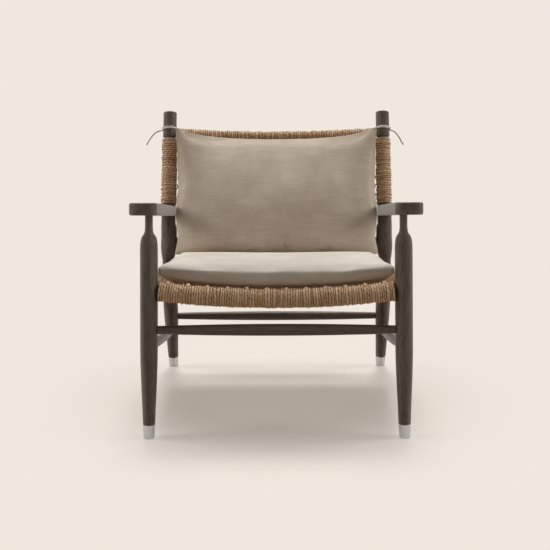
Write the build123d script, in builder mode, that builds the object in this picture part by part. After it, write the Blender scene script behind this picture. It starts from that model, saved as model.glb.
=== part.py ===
from build123d import *

import os
from math import asin, atan2, cos, degrees, pi, radians, sin, sqrt, tan

# Lounge armchair: turned front legs, bent rear posts, sloping arms, rails bound in paper cord,
# a woven cord seat and back, two loose linen cushions.
# Millimetres, +Z up, the chair faces -Y and its left is -X.
# The origin is on the floor below the middle of the chair's box.
# Depths are measured back from the line of the front legs.

os.makedirs("parts", exist_ok=True)

# Stance
foot_half_width = 315.0  # middle plane to the axis of each foot
base_depth = 590.0  # front leg line to the rear feet
front_leg_lean = 12.5  # a front leg leans in by this much at the arm

# Turned front legs
leg_diameter = 42.8
leg_foot_diameter = 30.4
leg_neck_diameter = 18.6
leg_taper_end = 230.0  # the leg is full from this height
leg_shoulder_start = 466.0  # up to this height
leg_neck_start = 531.0
shoulder_pull = 58.0  # how long the shoulder stays full before it falls to the neck
neck_pull = 39.0
foot_flare = 1.8  # legs widen by this over the first stretch above the ferrule
foot_pull = 65.0
swell_pull = 64.0  # legs run out to their full width over this stretch

# Bent rear posts
bend_depth = 495.0
bend_height = 366.0
bend_radius = 90.0
top_depth = 628.0
top_height = 768.0
post_diameter = 42.0  # just above the knuckle
post_top_diameter = 39.4
post_end_round = 4.0
post_leg_diameter = 42.5
post_leg_swell = 212.0  # along the leg, where it is thickest
waist_diameter = 36.0
knuckle_diameter = 46.5
knuckle_inset = 2.5  # the knuckle stands further in than out
knuckle_start = 6.0  # it starts this far below the bend
knuckle_rise = [(0, 0), (0.34, 0.2), (0.58, 0.9), (1, 1)]  # share of the way up to the rail, fullness
knuckle_fall = [(0.58, 0.85), (1, 0)]  # share of the way on to the plain post, fullness
waist_pull = 62.0

# Feet
ferrule_height = 36.0
ferrule_top_diameter = 30.0
ferrule_foot_diameter = 27.0
ferrule_wall = 1.2
ferrule_floor = 4.0
glide_diameter = 18.0
glide_thickness = 2.4
glide_proud = 0.8

# Arms
arm_overhang = 45.0  # tip ahead of the front leg line
arm_tip_height = 591.0  # top face at the tip
arm_slope = 8.85  # degrees down to the rear
arm_thickness = 29.5
arm_outset = 31.0  # outer edge of the tip outside the axes of the feet
arm_tip_width = 68.0
arm_rear_width = 40.0
arm_outer_corner = 22.0
arm_inner_corner = 16.0
arm_edge_round = 4.5

# Seat rails and the cord bound round them
cord_diameter = 5.5
seat_rail_height = 369.0  # axis of the front rail at its ends
seat_slope = 8.8  # degrees down to the rear
seat_rail_dip = 17.3
seat_rail_tall = 37.0
seat_rail_deep = 28.0
side_rail_diameter = 33.0
side_rail_lift = 10.0  # side rails stand this far above the front and rear ones

# Back rails
top_rail_drop = 63.0  # axis of the top rail below the tops of the posts
lower_rail_rise = 39.0  # axis of the lower rail above the bend of the posts
back_bow = 36.0
top_rail_diameter = 23.0
lower_rail_diameter = 29.0
post_wrap_rise = 26.2  # the cord on a post starts this far above the middle of the arm
post_wrap_drop = 71.0  # and stops this far below the top of the post
post_wrap_rebate = 3.3  # the post is turned down under the cord

# Stretchers
front_stretcher_height = 273.5
front_stretcher_end_diameter = 20.0
front_stretcher_diameter = 29.0
rear_stretcher_height = 167.5
rear_stretcher_end_diameter = 19.0
rear_stretcher_diameter = 27.0
side_stretcher_front_height = 229.6
side_stretcher_rear_height = 119.0
side_stretcher_end_diameter = 19.0
side_stretcher_diameter = 26.0

# Weave
warp_width = 11.0  # a pair of cords side by side
weave_thickness = 4.5
seat_weave_level = 17.0  # middle of the weave above the axes of the seat rails
seat_warp_count = 12
back_warp_count = 12
weft_pitch = 25.0
weft_margin = 27.0  # first weft from the axis of the rail beside it
warp_edge = 22.0  # outer warps from the ends of the rail

# Cushions
seat_cushion_side_gap = 0.5  # from its sides to the front legs, where its top passes them
seat_cushion_front = 6.0
seat_cushion_rear = 486.0
seat_cushion_front_top = 53.0  # above the seat rails' axes
seat_cushion_front_crown = 87.0
seat_cushion_front_pull = 168.0
seat_cushion_rear_crown = 95.0
seat_cushion_rear_pull = 120.0
seat_cushion_rear_top = 67.0
seat_cushion_side_drop = 27.6  # its sides are this much lower at the crown
seat_cushion_corner_drop = 6.0  # and this much at the front and rear
seat_cushion_corner_set = 10.0  # its front corners stand this far back
seat_cushion_front_swell = 8.0
back_cushion_side_gap = 6.0  # from its sides to the posts
back_cushion_rise = 4.0  # its foot above the rear edge of the seat cushion
back_cushion_corner_sag = 7.0  # its lower corners hang this much lower
back_cushion_drop = 17.1  # its top edge below the axis of the top rail
back_cushion_corner_rise = 22.0
corner_rise_power = 3  # how late the top edge rises to its corners
back_cushion_foot = 72.0  # thickness at the base
back_cushion_side_foot = 22.0
back_cushion_low_bulge = 71.0
back_cushion_low_pull = 86.0
back_cushion_high_bulge = 76.0
back_cushion_high_pull = 70.0
back_cushion_side_bulge = 12.0
back_cushion_edge = 14.0
cushion_stations = (-1, -0.86, -0.5, 0, 0.5, 0.86, 1)  # sections, as shares of the half width
cushion_edge_power = 4  # how late a cushion thins towards its sides

# Ties
tie_drop = 48.0  # below the tops of the posts
tie_diameter = 4.2
tie_band = 8.0
tie_round = 1.6
tie_knot = 9.0
knot_stand = 2.25  # the middle of the knot stands this far outside the turns
knot_turn = 40.0  # degrees behind the outer side of the post
tail_bend_share = 0.45  # of the shorter run beside a bend, taken up by its arc

# Fits
tenon_diameter = 14.0
tenon_setback = 7.6  # a tenon stops this far from the axis of the leg
arm_tenon_depth = 17.0
tenon_gap = 0.1
seat_gap = 0.15  # between a shoulder or a binding and what it stands on
soft_gap = 0.5  # between a cushion and what carries it

# Directions in the side view
seat_angle = radians(seat_slope)
arm_angle = radians(arm_slope)
post_run = (top_depth - bend_depth) / (top_height - bend_height)
leg_run = (base_depth - bend_depth) / bend_height
recline = atan2(top_depth - bend_depth, top_height - bend_height)
up_back = Vector(0, sin(recline), cos(recline))
rear_leg_up = Vector(0, -leg_run, 1).normalized()
seat_back = Vector(0, cos(seat_angle), -sin(seat_angle))
across = Vector(1, 0, 0)

# Heights that follow the posts
top_rail_height = top_height - top_rail_drop
lower_rail_height = bend_height + lower_rail_rise
post_wrap_high = top_height - post_wrap_drop
tie_height = top_height - tie_drop

# The box of the chair runs from the arm tips to the middle of the bound top rail
top_wrap_radius = top_rail_diameter / 2 + cord_diameter
top_rail_depth = bend_depth + (top_rail_height - bend_height) * post_run
rear_reach = top_rail_depth + back_bow * cos(recline) + top_wrap_radius
front_y = (arm_overhang - rear_reach) / 2

arm_under_height = arm_tip_height - arm_overhang * tan(arm_angle) - arm_thickness / cos(arm_angle)
leg_lean = front_leg_lean / arm_under_height
front_leg_up = Vector(-leg_lean, 0, 1).normalized()


# Points on the axes of the right front leg, rear leg and post at a height
def front_leg_point(height):
    return Vector(foot_half_width - leg_lean * height, front_y, height)


def rear_leg_point(height):
    return Vector(foot_half_width, front_y + base_depth - leg_run * height, height)


def post_point(height):
    return Vector(foot_half_width, front_y + bend_depth + post_run * (height - bend_height), height)


# Point of the rear leg that a line meets which slopes down with the seat from a height at the front
def rear_leg_meet(front_height):
    fall = tan(seat_angle)
    return rear_leg_point((front_height - base_depth * fall) / (1 - leg_run * fall))


# Plane on the axis of a turned piece: local x is its radius, local y runs along it
def turning_plane(start, along):
    aside = Vector(0, 0, 1) if abs(along.X) > along.length / 2 else across
    radial = along.cross(aside).normalized()
    return Plane(origin=start, x_dir=radial, z_dir=radial.cross(along))


# Distance from the axis of a leg, along a round member, at which the member's full end clears the leg
def shoulder_reach(along, leg_along, leg_radius, end_radius):
    lean = abs(along.normalized().dot(leg_along))
    return (leg_radius + end_radius * lean) / sqrt(1 - lean * lean) + seat_gap


# Bores a mortise into the open part, for the tenon of a member that leaves an axis towards a point
def mortise(axis_point, towards, leg_radius):
    way = (towards - axis_point).normalized()
    with Locations(Plane(origin=axis_point + way * (tenon_setback - seat_gap), z_dir=way)):
        Cylinder(
            tenon_diameter / 2 + tenon_gap,
            leg_radius + tenon_diameter,
            align=(Align.CENTER, Align.CENTER, Align.MIN),
            mode=Mode.SUBTRACT,
        )


# Turned stretcher or rail with a tenon at each end, between the axes of two legs
def turned_rail(start, end, start_leg, end_leg, start_radius, end_radius, end_diameter, full_diameter):
    along = end - start
    length = along.length
    near = shoulder_reach(along, start_leg, start_radius, end_diameter / 2)
    far = length - shoulder_reach(along, end_leg, end_radius, end_diameter / 2)
    plane = turning_plane(start, along)
    with BuildPart() as rail:
        with BuildSketch(plane):
            with BuildLine():
                Polyline(
                    (0, tenon_setback),
                    (tenon_diameter / 2, tenon_setback),
                    (tenon_diameter / 2, near),
                )
                Line((tenon_diameter / 2, near), (end_diameter / 2, near))
                Bezier(
                    (end_diameter / 2, near),
                    (full_diameter - end_diameter / 2, length / 2),
                    (end_diameter / 2, far),
                )
                Line((end_diameter / 2, far), (tenon_diameter / 2, far))
                Polyline(
                    (tenon_diameter / 2, far),
                    (tenon_diameter / 2, length - tenon_setback),
                    (0, length - tenon_setback),
                )
                Line((0, length - tenon_setback), (0, tenon_setback))
            make_face()
        revolve(axis=Axis(start, along))
    return rail.part


# Straight sleeve of bound cord round a member, between two legs
def straight_binding(start, end, start_leg, end_leg, start_radius, end_radius, core_radius):
    along = end - start
    outer = core_radius + cord_diameter
    near = shoulder_reach(along, start_leg, start_radius, outer)
    far = along.length - shoulder_reach(along, end_leg, end_radius, outer)
    with BuildPart() as binding:
        with BuildSketch(Plane(origin=start + along.normalized() * near, z_dir=along)):
            Circle(outer)
            Circle(core_radius + seat_gap, mode=Mode.SUBTRACT)
        extrude(amount=far - near)
    return binding.part


# Radius of the arc through both ends and the low point of a bow
def bow_radius(half_span, bow):
    return (half_span * half_span + bow * bow) / (2 * bow)


# Fall of that arc, or of one drawn inside it, below the line of its ends
def bow_fall(half_span, bow, x, inside=0):
    radius = bow_radius(half_span, bow)
    return sqrt((radius - inside) ** 2 - x * x) - (radius - bow)


# How far the axis of a bowed rail runs out, so that the corner of its square end stops at a limit
def rail_reach(limit, half_span, bow, half_height):
    return limit - half_height * half_span / bow_radius(half_span, bow)


# Rail that bows between its ends, oval in section, with a straight tenon at each end
def bowed_rail(plane, half_span, bow, deep, tall, limit, leg_axis_x):
    radius = bow_radius(half_span, bow)
    reach = rail_reach(limit, half_span, bow, tall / 2)
    half_turn = degrees(asin(reach / radius))
    with BuildPart() as rail:
        with BuildLine(plane) as path:
            CenterArc((0, radius - bow), radius, -90 - half_turn, 2 * half_turn)
        with BuildSketch(Plane(origin=path.wire() @ 0, x_dir=plane.z_dir, z_dir=path.wire() % 0)):
            Ellipse(deep / 2, tall / 2)
        sweep()
        for side in (-1, 1):
            root = plane.from_local_coords(Vector(side * (reach - tenon_diameter), 0, 0))
            with Locations(Plane(origin=root, z_dir=across * side)):
                Cylinder(
                    tenon_diameter / 2,
                    leg_axis_x - tenon_setback - reach + tenon_diameter,
                    align=(Align.CENTER, Align.CENTER, Align.MIN),
                )
    return rail.part


# Cord bound round a bowed rail, as one oval sleeve
def bowed_binding(plane, half_span, bow, deep, tall, limit):
    radius = bow_radius(half_span, bow)
    reach = rail_reach(limit, half_span, bow, tall / 2 + cord_diameter)
    half_turn = degrees(asin(reach / radius))
    with BuildPart() as binding:
        with BuildLine(plane) as path:
            CenterArc((0, radius - bow), radius, -90 - half_turn, 2 * half_turn)
        with BuildSketch(Plane(origin=path.wire() @ 0, x_dir=plane.z_dir, z_dir=path.wire() % 0)):
            Ellipse(deep / 2 + cord_diameter, tall / 2 + cord_diameter)
            Ellipse(deep / 2 + seat_gap, tall / 2 + seat_gap, mode=Mode.SUBTRACT)
        sweep()
    return binding.part


# Angles of the warps about the middle of the bow, from its lowest point
def warp_angles(half_span, bow, count):
    edge = degrees(asin((half_span - warp_edge) / bow_radius(half_span, bow)))
    return [-edge + 2 * edge * index / (count - 1) for index in range(count)]


# Warp cords: pairs laid side by side, straight from one bowed rail to the other
def warp_cords(plane, half_span, bow, level, count, start, end):
    radius = bow_radius(half_span, bow)
    angles = warp_angles(half_span, bow, count)
    with BuildPart() as cords:
        with BuildSketch(plane.offset(start)):
            with Locations((0, radius - bow)):
                with PolarLocations(radius - level, count, angles[0] - 90, 2 * angles[-1], endpoint=True):
                    SlotOverall(warp_width, weave_thickness, rotation=90)
        extrude(amount=end - start)
    return cords.part


# Weft cords: bands across the warps, over one and under the next, each row the other way round
def weft_cords(plane, half_span, bow, level, count, bands):
    centre = Vector(0, bow_radius(half_span, bow) - bow)
    middle = bow_radius(half_span, bow) - level
    flat = degrees((warp_width / 2 + soft_gap) / middle)
    with BuildPart() as cords:
        for row, (place, reach) in enumerate(bands):
            end = degrees(asin(reach / (middle + weave_thickness / 2)))
            wave = [(-end, 0)]
            for column, angle in enumerate(warp_angles(half_span, bow, count)):
                lift = (weave_thickness + seat_gap) * (1 if (row + column) % 2 else -1)
                wave.append((angle - flat, lift))
                wave.append((angle + flat, lift))
            wave.append((end, 0))
            under = [(angle, lift - weave_thickness / 2 - middle) for angle, lift in wave]
            over = [(angle, lift + weave_thickness / 2 - middle) for angle, lift in reversed(wave)]
            outline = [centre + Vector(0, y).rotate(Axis.Z, angle) for angle, y in under + over]
            with BuildSketch(plane.offset(place - warp_width / 2)):
                with BuildLine():
                    Polyline(*outline, close=True)
                make_face()
        extrude(amount=warp_width)
    return cords.part


# Places of the wefts between two rails, evenly spaced close to the pitch
def weft_places(length):
    count = round((length - 2 * weft_margin) / weft_pitch)
    step = (length - 2 * weft_margin) / count
    return [weft_margin + step * index for index in range(count + 1)]


# Rails and stretchers: axes and ends
leg_radius = leg_diameter / 2
post_leg_radius = post_leg_diameter / 2
seat_plane = Plane(origin=(0, front_y, seat_rail_height), x_dir=across, z_dir=seat_back * -1)
rear_rail_point = rear_leg_meet(seat_rail_height)
seat_length = (rear_rail_point - front_leg_point(seat_rail_height)).dot(seat_back)
rear_rail_plane = seat_plane.offset(-seat_length)
front_rail_axis_x = front_leg_point(seat_rail_height).X
seat_half = front_rail_axis_x - leg_radius - seat_gap
rear_rail_limit = foot_half_width - post_leg_radius - seat_gap

side_rail_front_height = seat_rail_height + side_rail_lift / cos(seat_angle)
side_rail_start = front_leg_point(side_rail_front_height)
side_rail_end = rear_leg_meet(side_rail_front_height)
front_stretcher_start = front_leg_point(front_stretcher_height)
rear_stretcher_start = rear_leg_point(rear_stretcher_height)
side_stretcher_start = front_leg_point(side_stretcher_front_height)
side_stretcher_end = rear_leg_point(side_stretcher_rear_height)


# The same point on the other side of the chair, and a leg's direction there
def other_side(point):
    return Vector(-point.X, point.Y, point.Z)


# Back rails lie square to the posts and bow to the rear
def back_plane(height):
    point = post_point(height)
    return Plane(origin=(0, point.Y, point.Z), x_dir=across, z_dir=up_back * -1)


top_rail_plane = back_plane(top_rail_height)
lower_rail_plane = back_plane(lower_rail_height)
back_length = (post_point(top_rail_height) - post_point(lower_rail_height)).length
back_half = foot_half_width - knuckle_inset - knuckle_diameter / 2 - seat_gap

# Where the middle of the arm meets the axis of the post
arm_middle_front = arm_under_height + arm_thickness / 2 / cos(arm_angle)
arm_fall = tan(arm_angle)
post_root_depth = bend_depth - post_run * bend_height
arm_meet_height = (arm_middle_front - arm_fall * post_root_depth) / (1 + arm_fall * post_run)
arm_meet = post_point(arm_meet_height)
post_wrap_low = arm_meet_height + post_wrap_rise
arm_forward = Vector(0, -cos(arm_angle), sin(arm_angle))

# Front leg: a turned foot, a long full body and a shoulder that falls to a thin neck
leg_plane = turning_plane(front_leg_point(0), front_leg_up)
leg_axis = Axis(front_leg_point(0), front_leg_up)
wood_foot_height = glide_proud + ferrule_floor
foot_taper = (ferrule_top_diameter - ferrule_foot_diameter) / ferrule_height


# Radius of the ferrule's outside along its leg
def ferrule_radius(along):
    return (ferrule_foot_diameter + foot_taper * along) / 2


# Outline of a foot inside its ferrule, started below the floor so that the floor cuts it
def foot_outline(upper_radius):
    low = -ferrule_height / 2
    inner_low = ferrule_radius(low) - ferrule_wall - seat_gap
    inner_high = ferrule_radius(ferrule_height) - ferrule_wall - seat_gap
    Polyline(
        (0, low),
        (inner_low, low),
        (inner_high, ferrule_height),
        (upper_radius, ferrule_height),
    )


with BuildPart() as front_leg:
    with BuildSketch(leg_plane):
        with BuildLine():
            foot_outline(leg_foot_diameter / 2)
            Bezier(
                (leg_foot_diameter / 2, ferrule_height),
                (leg_foot_diameter / 2 + foot_flare, ferrule_height + foot_pull),
                (leg_radius, leg_taper_end - swell_pull),
                (leg_radius, leg_taper_end),
            )
            Line((leg_radius, leg_taper_end), (leg_radius, leg_shoulder_start))
            Bezier(
                (leg_radius, leg_shoulder_start),
                (leg_radius, leg_shoulder_start + shoulder_pull),
                (leg_neck_diameter / 2, leg_neck_start - neck_pull),
                (leg_neck_diameter / 2, leg_neck_start),
            )
            Polyline(
                (leg_neck_diameter / 2, leg_neck_start),
                (leg_neck_diameter / 2, arm_under_height + arm_tenon_depth),
                (0, arm_under_height + arm_tenon_depth),
                (0, -ferrule_height / 2),
            )
        make_face()
    revolve(axis=leg_axis)
    split(bisect_by=Plane.XY.offset(wood_foot_height), keep=Keep.TOP)
    mortise(front_leg_point(seat_rail_height), front_leg_point(seat_rail_height) - across, leg_radius)
    mortise(side_rail_start, side_rail_end, leg_radius)
    mortise(front_stretcher_start, other_side(front_stretcher_start), leg_radius)
    mortise(side_stretcher_start, side_stretcher_end, leg_radius)

# Rear post: a raked leg, a knuckle at the bend where the back rail joins, and a reclined upper part
post_foot = rear_leg_point(0)
post_bend = post_point(bend_height)
post_top = post_point(top_height)
with BuildLine() as post_line:
    FilletPolyline(post_foot, post_bend, post_top, radius=bend_radius)
post_path = post_line.wire()
turn = radians(rear_leg_up.get_angle(up_back))
bend_tangent = bend_radius * tan(turn / 2)
arc_start = (post_bend - post_foot).length - bend_tangent
arc_end = arc_start + bend_radius * turn
upper_length = (post_top - post_bend).length


# Place along the post of a height on its reclined part
def post_place(height):
    return arc_end + (post_point(height) - post_bend).length - bend_tangent


# Radius of the reclined part at a height
def post_radius(height):
    share = (height - lower_rail_height) / (top_height - lower_rail_height)
    return (post_diameter + (post_top_diameter - post_diameter) * share) / 2


knuckle_low = arc_start - knuckle_start
knuckle_place = post_place(lower_rail_height)
knuckle_high = knuckle_place + knuckle_diameter


# Sections of the knuckle, swelling from the waist up to the back rail and falling back to the post
def knuckle_sections():
    sections = []
    for share, fullness in knuckle_rise:
        diameter = waist_diameter + (knuckle_diameter - waist_diameter) * fullness
        sections.append((knuckle_low + (knuckle_place - knuckle_low) * share, diameter, fullness))
    plain_diameter = 2 * post_radius(lower_rail_height)
    for share, fullness in knuckle_fall:
        diameter = plain_diameter + (knuckle_diameter - plain_diameter) * fullness
        sections.append((knuckle_place + (knuckle_high - knuckle_place) * share, diameter, fullness))
    return sections


knuckle_top_height = bend_height + (knuckle_high - arc_end + bend_tangent) * cos(recline)
upper_plane = turning_plane(post_bend, up_back)


# Place up the reclined part, from the bend, of a height
def up_from_bend(height):
    return (height - bend_height) / cos(recline)


with BuildPart() as rear_post:
    with BuildSketch(turning_plane(post_foot, rear_leg_up)):
        with BuildLine():
            foot_outline(leg_foot_diameter / 2)
            Bezier(
                (leg_foot_diameter / 2, ferrule_height),
                (leg_foot_diameter / 2 + foot_flare, ferrule_height + foot_pull),
                (post_leg_radius, post_leg_swell - swell_pull),
                (post_leg_radius, post_leg_swell),
            )
            Bezier(
                (post_leg_radius, post_leg_swell),
                (post_leg_radius, post_leg_swell + waist_pull),
                (waist_diameter / 2, knuckle_low - waist_pull),
                (waist_diameter / 2, knuckle_low),
            )
            Polyline((waist_diameter / 2, knuckle_low), (0, knuckle_low), (0, -ferrule_height / 2))
        make_face()
    revolve(axis=Axis(post_foot, rear_leg_up))
    for place, diameter, fullness in knuckle_sections():
        inset = knuckle_inset * fullness
        middle = post_path.position_at(place, position_mode=PositionMode.LENGTH)
        way = post_path.tangent_at(place, position_mode=PositionMode.LENGTH)
        with BuildSketch(Plane(origin=middle - across * inset, x_dir=across, z_dir=way)):
            Circle(diameter / 2)
    loft()
    with BuildSketch(upper_plane):
        with BuildLine():
            Polyline(
                (0, up_from_bend(knuckle_top_height)),
                (post_radius(lower_rail_height), up_from_bend(knuckle_top_height)),
                (post_radius(post_wrap_low), up_from_bend(post_wrap_low)),
                (post_radius(post_wrap_low) - post_wrap_rebate, up_from_bend(post_wrap_low)),
                (post_radius(post_wrap_high) - post_wrap_rebate, up_from_bend(post_wrap_high)),
                (post_radius(post_wrap_high), up_from_bend(post_wrap_high)),
                (post_radius(top_height), upper_length),
                (0, upper_length),
                close=True,
            )
        make_face()
    revolve(axis=Axis(post_bend, up_back))
    rims = rear_post.edges().filter_by(GeomType.CIRCLE).sort_by(Axis(post_bend, up_back))
    fillet(rims[-1], post_end_round)
    split(bisect_by=Plane.XY.offset(wood_foot_height), keep=Keep.TOP)
    mortise(rear_rail_point, rear_rail_point - across, post_leg_radius)
    mortise(side_rail_end, side_rail_start, post_leg_radius)
    mortise(rear_stretcher_start, rear_stretcher_start - across, post_leg_radius)
    mortise(side_stretcher_end, side_stretcher_start, post_leg_radius)
    mortise(post_point(top_rail_height), post_point(top_rail_height) - across, post_diameter / 2)
    mortise(post_point(lower_rail_height), post_point(lower_rail_height) - across, knuckle_diameter / 2)
    mortise(arm_meet, arm_meet + arm_forward, post_diameter / 2)

# Arm: a flat paddle, wide and round at the tip, narrowing to the post that it is coped to
arm_length = arm_overhang / cos(arm_angle) + (arm_meet.Y - front_y) / cos(arm_angle)
arm_normal = Vector(0, sin(arm_angle), cos(arm_angle))
arm_plane = Plane(origin=(0, front_y - arm_overhang, arm_tip_height), x_dir=across, z_dir=arm_normal)
arm_outer_x = foot_half_width + arm_outset
arm_rear_inner = foot_half_width - arm_rear_width / 2
arm_rear_outer = foot_half_width + arm_rear_width / 2
arm_up = Axis((0, 0, 0), arm_normal)
with BuildPart() as arm:
    with BuildSketch(arm_plane) as outline:
        with BuildLine():
            Polyline(
                (arm_outer_x - arm_tip_width, 0),
                (arm_outer_x, 0),
                (arm_rear_outer, arm_length),
                (arm_rear_inner, arm_length),
                close=True,
            )
        make_face()
        tip = outline.vertices().group_by(Axis.Y)[0].sort_by(Axis.X)
        fillet(tip[-1], arm_outer_corner)
        inner = outline.vertices().sort_by(Axis.X)[0]
        fillet(inner, arm_inner_corner)
    extrude(amount=-arm_thickness)
    fillet(arm.faces().sort_by(arm_up)[-1].edges(), arm_edge_round)
    fillet(arm.faces().sort_by(arm_up)[0].edges(), arm_edge_round)
    with BuildSketch(Plane(origin=post_bend, z_dir=up_back)):
        Circle(post_diameter / 2 + seat_gap)
    extrude(amount=upper_length, mode=Mode.SUBTRACT)
    with Locations(Plane(origin=arm_meet + arm_forward * tenon_setback, z_dir=arm_forward)):
        Cylinder(
            tenon_diameter / 2,
            post_diameter / 2 + arm_thickness,
            align=(Align.CENTER, Align.CENTER, Align.MIN),
        )
    with Locations(Plane(origin=front_leg_point(leg_neck_start), z_dir=front_leg_up)):
        Cylinder(
            leg_neck_diameter / 2 + tenon_gap,
            arm_under_height + arm_tenon_depth + seat_gap - leg_neck_start,
            align=(Align.CENTER, Align.CENTER, Align.MIN),
            mode=Mode.SUBTRACT,
        )


# Metal ferrule: a tapered cup on a foot, cut level with the floor, with a pocket for its glide
def ferrule(foot, leg_along):
    low = -ferrule_height / 2
    with BuildPart() as cup:
        with BuildSketch(turning_plane(foot, leg_along)):
            with BuildLine():
                Polyline(
                    (0, low),
                    (ferrule_radius(low), low),
                    (ferrule_radius(ferrule_height), ferrule_height - seat_gap),
                    (0, ferrule_height - seat_gap),
                    close=True,
                )
            make_face()
        revolve(axis=Axis(foot, leg_along))
        with BuildSketch(turning_plane(foot, leg_along)):
            with BuildLine():
                Polyline(
                    (0, low),
                    (ferrule_radius(low) - ferrule_wall, low),
                    (ferrule_radius(ferrule_height) - ferrule_wall, ferrule_height),
                    (0, ferrule_height),
                    close=True,
                )
            make_face()
        revolve(axis=Axis(foot, leg_along), mode=Mode.SUBTRACT)
        split(bisect_by=Plane.XY.offset(glide_proud), keep=Keep.TOP)
    with BuildPart() as floor:
        with BuildSketch(turning_plane(foot, leg_along)):
            with BuildLine():
                Polyline(
                    (0, low),
                    (ferrule_radius(low), low),
                    (ferrule_radius(ferrule_height), ferrule_height),
                    (0, ferrule_height),
                    close=True,
                )
            make_face()
        revolve(axis=Axis(foot, leg_along))
        split(bisect_by=Plane.XY.offset(glide_proud), keep=Keep.TOP)
        split(bisect_by=Plane.XY.offset(wood_foot_height - seat_gap), keep=Keep.BOTTOM)
        with BuildSketch(Plane.XY):
            with Locations((foot.X, foot.Y)):
                Circle(glide_diameter / 2 + tenon_gap)
        extrude(amount=glide_thickness, mode=Mode.SUBTRACT)
        add(cup.part)
    return floor.part


# Glide: a plain pad in the floor of the ferrule
def glide(foot):
    with BuildPart() as pad:
        with BuildSketch(Plane.XY):
            with Locations((foot.X, foot.Y)):
                Circle(glide_diameter / 2)
        extrude(amount=glide_thickness - seat_gap)
    return pad.part


# Cord bound round a post above the arm
with BuildPart() as post_wrap:
    low = up_from_bend(post_wrap_low) + seat_gap
    high = up_from_bend(post_wrap_high) - seat_gap
    low_radius = post_radius(post_wrap_low) - post_wrap_rebate + seat_gap
    high_radius = post_radius(post_wrap_high) - post_wrap_rebate + seat_gap
    with BuildSketch(upper_plane):
        with BuildLine():
            Polyline(
                (low_radius, low),
                (low_radius + cord_diameter, low),
                (high_radius + cord_diameter, high),
                (high_radius, high),
                close=True,
            )
        make_face()
    revolve(axis=Axis(post_bend, up_back))

# Woven seat: warps between the bound front and rear rails, wefts between the bound side rails
seat_wrap_deep = seat_rail_deep / 2 + cord_diameter
seat_wrap_tall = seat_rail_tall / 2 + cord_diameter
weave_under = seat_weave_level - weave_thickness / 2
seat_warp_start = seat_wrap_deep * sqrt(1 - (weave_under / seat_wrap_tall) ** 2) + seat_gap
side_wrap_radius = side_rail_diameter / 2 + cord_diameter
weft_above_side = max(weave_under - side_rail_lift, 0)


# How far a weft runs out before it meets the binding of the side rail, at a place along the seat
def seat_weft_reach(place):
    side_x = foot_half_width + (side_rail_start.X - foot_half_width) * place / seat_length
    return side_x - sqrt(side_wrap_radius**2 - weft_above_side**2) - soft_gap


seat_bands = [(place, seat_weft_reach(place)) for place in weft_places(seat_length)]
seat_warps = warp_cords(
    rear_rail_plane,
    seat_half,
    seat_rail_dip,
    seat_weave_level,
    seat_warp_count,
    seat_warp_start,
    seat_length - seat_warp_start,
)
seat_wefts = weft_cords(
    rear_rail_plane, seat_half, seat_rail_dip, seat_weave_level, seat_warp_count, seat_bands
)

# Woven back: warps from rail to rail, wefts from post to post above the arms and short of them below
wrapped_radius = post_radius(post_wrap_low) - post_wrap_rebate + seat_gap + cord_diameter
post_wrap_span = (post_point(top_rail_height) - post_point(post_wrap_low)).length - warp_width


# How far a weft of the back runs out, at a place below the top rail
def back_weft_reach(place):
    if place < post_wrap_span:
        return foot_half_width - wrapped_radius - soft_gap
    return back_half - warp_edge + 1.5 * warp_width


back_bands = [(place, back_weft_reach(place)) for place in weft_places(back_length)]
back_warp_start = top_wrap_radius + seat_gap
lower_wrap_radius = lower_rail_diameter / 2 + cord_diameter
back_warp_end = back_length - lower_wrap_radius - seat_gap
back_warps = warp_cords(
    top_rail_plane, back_half, back_bow, 0, back_warp_count, back_warp_start, back_warp_end
)
back_wefts = weft_cords(top_rail_plane, back_half, back_bow, 0, back_warp_count, back_bands)

# Seat cushion: flat below along the slope, so that it slides out forward, crowned above
weave_top = seat_weave_level + 1.5 * weave_thickness + seat_gap
seat_top_level = max(weave_top, seat_wrap_tall) + soft_gap
seat_cushion_pass = seat_rail_height + seat_cushion_rear_crown / cos(seat_angle)
seat_cushion_half_width = front_leg_point(seat_cushion_pass).X - leg_radius - seat_cushion_side_gap
with BuildPart() as seat_cushion:
    for share in cushion_stations:
        x = share * seat_cushion_half_width
        base = -bow_fall(seat_half, seat_rail_dip, x, seat_top_level)
        slim = share**cushion_edge_power
        drop = seat_cushion_side_drop * slim
        front = seat_cushion_front + seat_cushion_corner_set * slim
        front_top = seat_cushion_front_top - seat_cushion_corner_drop * slim
        rear_top = seat_cushion_rear_top - seat_cushion_corner_drop * slim
        front_swell = 2 * seat_cushion_front_swell * (1 - slim)
        with BuildSketch(Plane(origin=(x, front_y, seat_rail_height), x_dir=seat_back, z_dir=across)):
            with BuildLine():
                Line((front, base), (seat_cushion_rear, base))
                Line((seat_cushion_rear, base), (seat_cushion_rear, rear_top))
                Bezier(
                    (seat_cushion_rear, rear_top),
                    (seat_cushion_rear - seat_cushion_rear_pull, seat_cushion_rear_crown - drop),
                    (front + seat_cushion_front_pull, seat_cushion_front_crown - drop),
                    (front, front_top),
                )
                Bezier((front, front_top), (front - front_swell, (front_top + base) / 2), (front, base))
            make_face()
    loft()

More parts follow.
